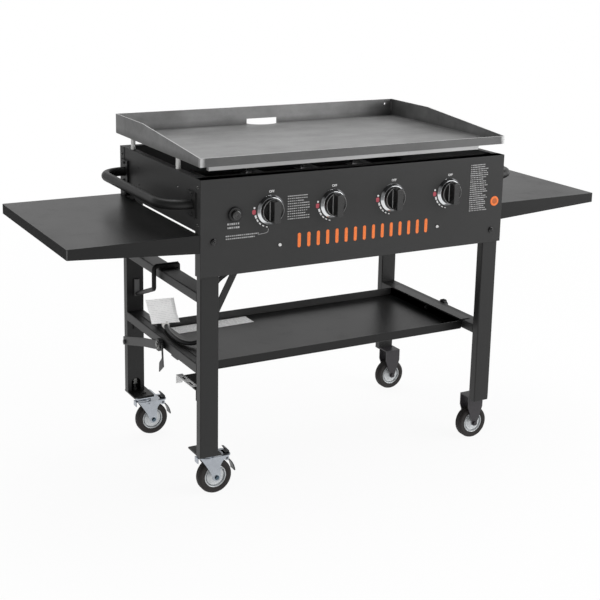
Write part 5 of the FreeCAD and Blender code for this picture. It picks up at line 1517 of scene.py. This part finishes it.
class GRIDDLE_OT_gas_line(bpy.types.Operator):
    """Replaces the hose, its tag and the regulator, and paints the grease cup and rails"""
    bl_idname = "griddle.gas_line"
    bl_label = "Gas hose and tag"

    def execute(self, context):
        self.add_hose()
        self.add_tag()
        paint_nodes("bare", "grease_cup")
        paint_nodes("inside", "cup_rails")
        return {"FINISHED"}

    def add_hose(self):
        hose = smooth_bar("hose_line", [mm(*spot) for spot in HOSE_ROUTE], mm(6), 6, 16)
        hose.data.materials.append(FINISHES["hose"])
        settle(hose, "cart", "hose_rubber", "gas_hose")
        body = self.add_regulator()

    def along_hose(self, bm, spot):
        """Lays a shape that was turned about Z along the hose's last run."""
        run = mm(*HOSE_ROUTE[-1]) - mm(*HOSE_ROUTE[-2])
        turn = run.to_track_quat("Z", "Y").to_matrix().to_4x4()
        bm.transform(Matrix.Translation(spot) @ turn)
        return bm

    def add_regulator(self):
        """Bonnet with a crimped seam and a vent, hexagon nut below and the hose's ferrule."""
        low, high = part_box("regulator")
        middle = Vector(((low.x + high.x) / 2, 0.0, high.z - mm(28.5)))
        bonnet = lathe(BONNET, middle, "y", 64, high.y - mm(28))
        foot = Vector((middle.x, high.y - mm(14), 0.0))
        nut = lathe(BOTTLE_NUT, foot, "z", 6, low.z)
        ferrule = self.along_hose(lathe(FERRULE, ORIGIN, "z", 24), mm(*HOSE_ROUTE[-1]))
        return dress("regulator_body", join(bonnet, nut, ferrule), "casting", "cart",
                     "grey_metal", "regulator", crease=30.0)

    def add_tag(self):
        """A creased sheet of paper with its right edge turned back, and its tie."""
        through = (TAG_TOP[1] - TAG_TOP[0]).cross(TAG_HEM[0] - TAG_TOP[0]).normalized()
        bm = bmesh.new()
        grid = []
        for row in range(TAG_ROWS + 1):
            down = row / TAG_ROWS
            shares = [column / TAG_COLUMNS for column in range(TAG_COLUMNS + 1)]
            grid.append([bm.verts.new(self.tag_spot(across, down, through))
                         for across in shares])
        fill_grid(bm, grid)
        bmesh.ops.solidify(bm, geom=list(bm.faces), thickness=mm(0.4))
        bmesh.ops.recalc_face_normals(bm, faces=bm.faces)
        dress("blank_tag", bm, "tag", "cart", "tag_paper", "paper_tag", crease=25.0)
        self.add_tie(TAG_HEM[0].lerp(TAG_HEM[1], 0.55))

    def tag_spot(self, across, down, through):
        """A point of the tag: drawn in at its sides, crumpled, its right edge turned."""
        spot = TAG_TOP[0].lerp(TAG_TOP[1], across).lerp(TAG_HEM[0].lerp(TAG_HEM[1], across), down)
        inset = math.sin(math.pi * down) * mm(2.6)
        spot += (TAG_HEM[1] - TAG_HEM[0]).normalized() * inset * (0.4 - across)
        crumple = (math.sin(across * 3.4 + down * 1.6) * mm(1.6)
                   + math.sin(across * 8.0 - down * 4.0) * mm(0.6)
                   + math.sin(across * 3.0 + down * 13.0) * mm(0.5) * (1 - down * 0.6))
        turned = max(0.0, across - 0.94) * mm(150) * (1 - down * 0.4)
        return spot + through * (crumple + turned)

    def add_tie(self, hem):
        """A twist of paper round the hose that holds the tag, and its strap."""
        wrap = lathe(PAPER_WRAP, ORIGIN, "z", 24)
        for vert in wrap.verts:
            angle = math.atan2(vert.co.y, vert.co.x)
            swell = math.sin(angle * 3 + vert.co.z * 900) + math.sin(angle * 7 - vert.co.z * 500)
            vert.co.xy *= 1.0 + 0.05 * swell
        knot = mm(*HOSE_ROUTE[-2])
        self.along_hose(wrap, knot)
        strap = tube([knot + mm(-2, -3, 6), knot + mm(0, -8, 9),
                      (knot + hem) / 2 + mm(0, -4, 6), hem + mm(0, 0, 3)], mm(2.6))
        dress("tag_strap", strap, "tie", "cart", "tag_paper")
        dress("tag_tie", wrap, "tie", "cart", "tag_paper", crease=60.0)


# Fasteners

class GRIDDLE_OT_screws(bpy.types.Operator):
    """Adds the detailed heads of the screws and bolts over the plain ones"""
    bl_idname = "griddle.screws"
    bl_label = "Screws and bolts"

    def execute(self, context):
        paint_nodes("knob", "fasteners")
        corner, handle, pale, pivot = [], [], [], []
        for side in (-1, 1):
            outward = Vector((side, 0.0, 0.0))
            corner += [(mm(side * 458, y, z), outward)
                       for y in (-272.5, 236.5) for z in (727.5, 821.333)]
            handle += [(mm(side * 462, y, z), outward) for y in (-242, 212) for z in (751, 801)]
            pale.append((mm(side * 240, -288, 661), FRONT))
        for x, z in ((-423, 687), (423, 634)):
            pivot += [(mm(x, -288, z), FRONT), (mm(x, 252, z), BACK)]
        tree = screw_heads()
        for name, finish, spots, radius, height, slot in (
                ("corner_screws", "plated", corner, 4.3, 2.5, "zinc"),
                ("handle_bolts", "knob", handle, 5.3, 3.4, "black_plastic"),
                ("panel_screws", "pale", pale, 4.4, 4.6, "zinc"),
                ("pivot_bolts", "gloss", pivot, 8.4, 5.4, "black_plastic")):
            grow(name, tree, finish, spots, "cart", slot, Head_Radius=mm(radius),
                 Head_Height=mm(height))
        return {"FINISHED"}


class GRIDDLE_PT_sidebar(bpy.types.Panel):
    """Lists the station's settings and pieces"""
    bl_idname = "GRIDDLE_PT_sidebar"
    bl_label = "Gas griddle station"
    bl_space_type = "VIEW_3D"
    bl_region_type = "UI"
    bl_category = "Griddle"

    def draw(self, context):
        for group in (context.scene.griddle_colours, context.scene.griddle_sizes):
            column = self.layout.column(align=True)
            for name in group.bl_rna.properties.keys():
                if name not in ("rna_type", "name"):
                    column.prop(group, name)
        for step in STEPS:
            self.layout.operator(step.bl_idname)


STEPS = (GRIDDLE_OT_stage, GRIDDLE_OT_gas_line, GRIDDLE_OT_cooking_plate,
         GRIDDLE_OT_burner_box, GRIDDLE_OT_panel_marks, GRIDDLE_OT_dials, GRIDDLE_OT_shelves,
         GRIDDLE_OT_frame, GRIDDLE_OT_bottom_tray, GRIDDLE_OT_hand_screws,
         GRIDDLE_OT_casters, GRIDDLE_OT_screws)
CLASSES = (GriddleColours, GriddleSizes) + STEPS + (GRIDDLE_PT_sidebar,)


def register():
    for item in CLASSES:
        bpy.utils.register_class(item)
    bpy.types.Scene.griddle_colours = PointerProperty(type=GriddleColours)
    bpy.types.Scene.griddle_sizes = PointerProperty(type=GriddleSizes)


def unregister():
    del bpy.types.Scene.griddle_sizes
    del bpy.types.Scene.griddle_colours
    for item in reversed(CLASSES):
        bpy.utils.unregister_class(item)


def main():
    register()
    FINISHES.update(make_finishes(bpy.context.scene.griddle_colours))
    for step in STEPS:
        group, name = step.bl_idname.split(".")
        getattr(getattr(bpy.ops, group), name)()


if __name__ == "__main__":
    main()
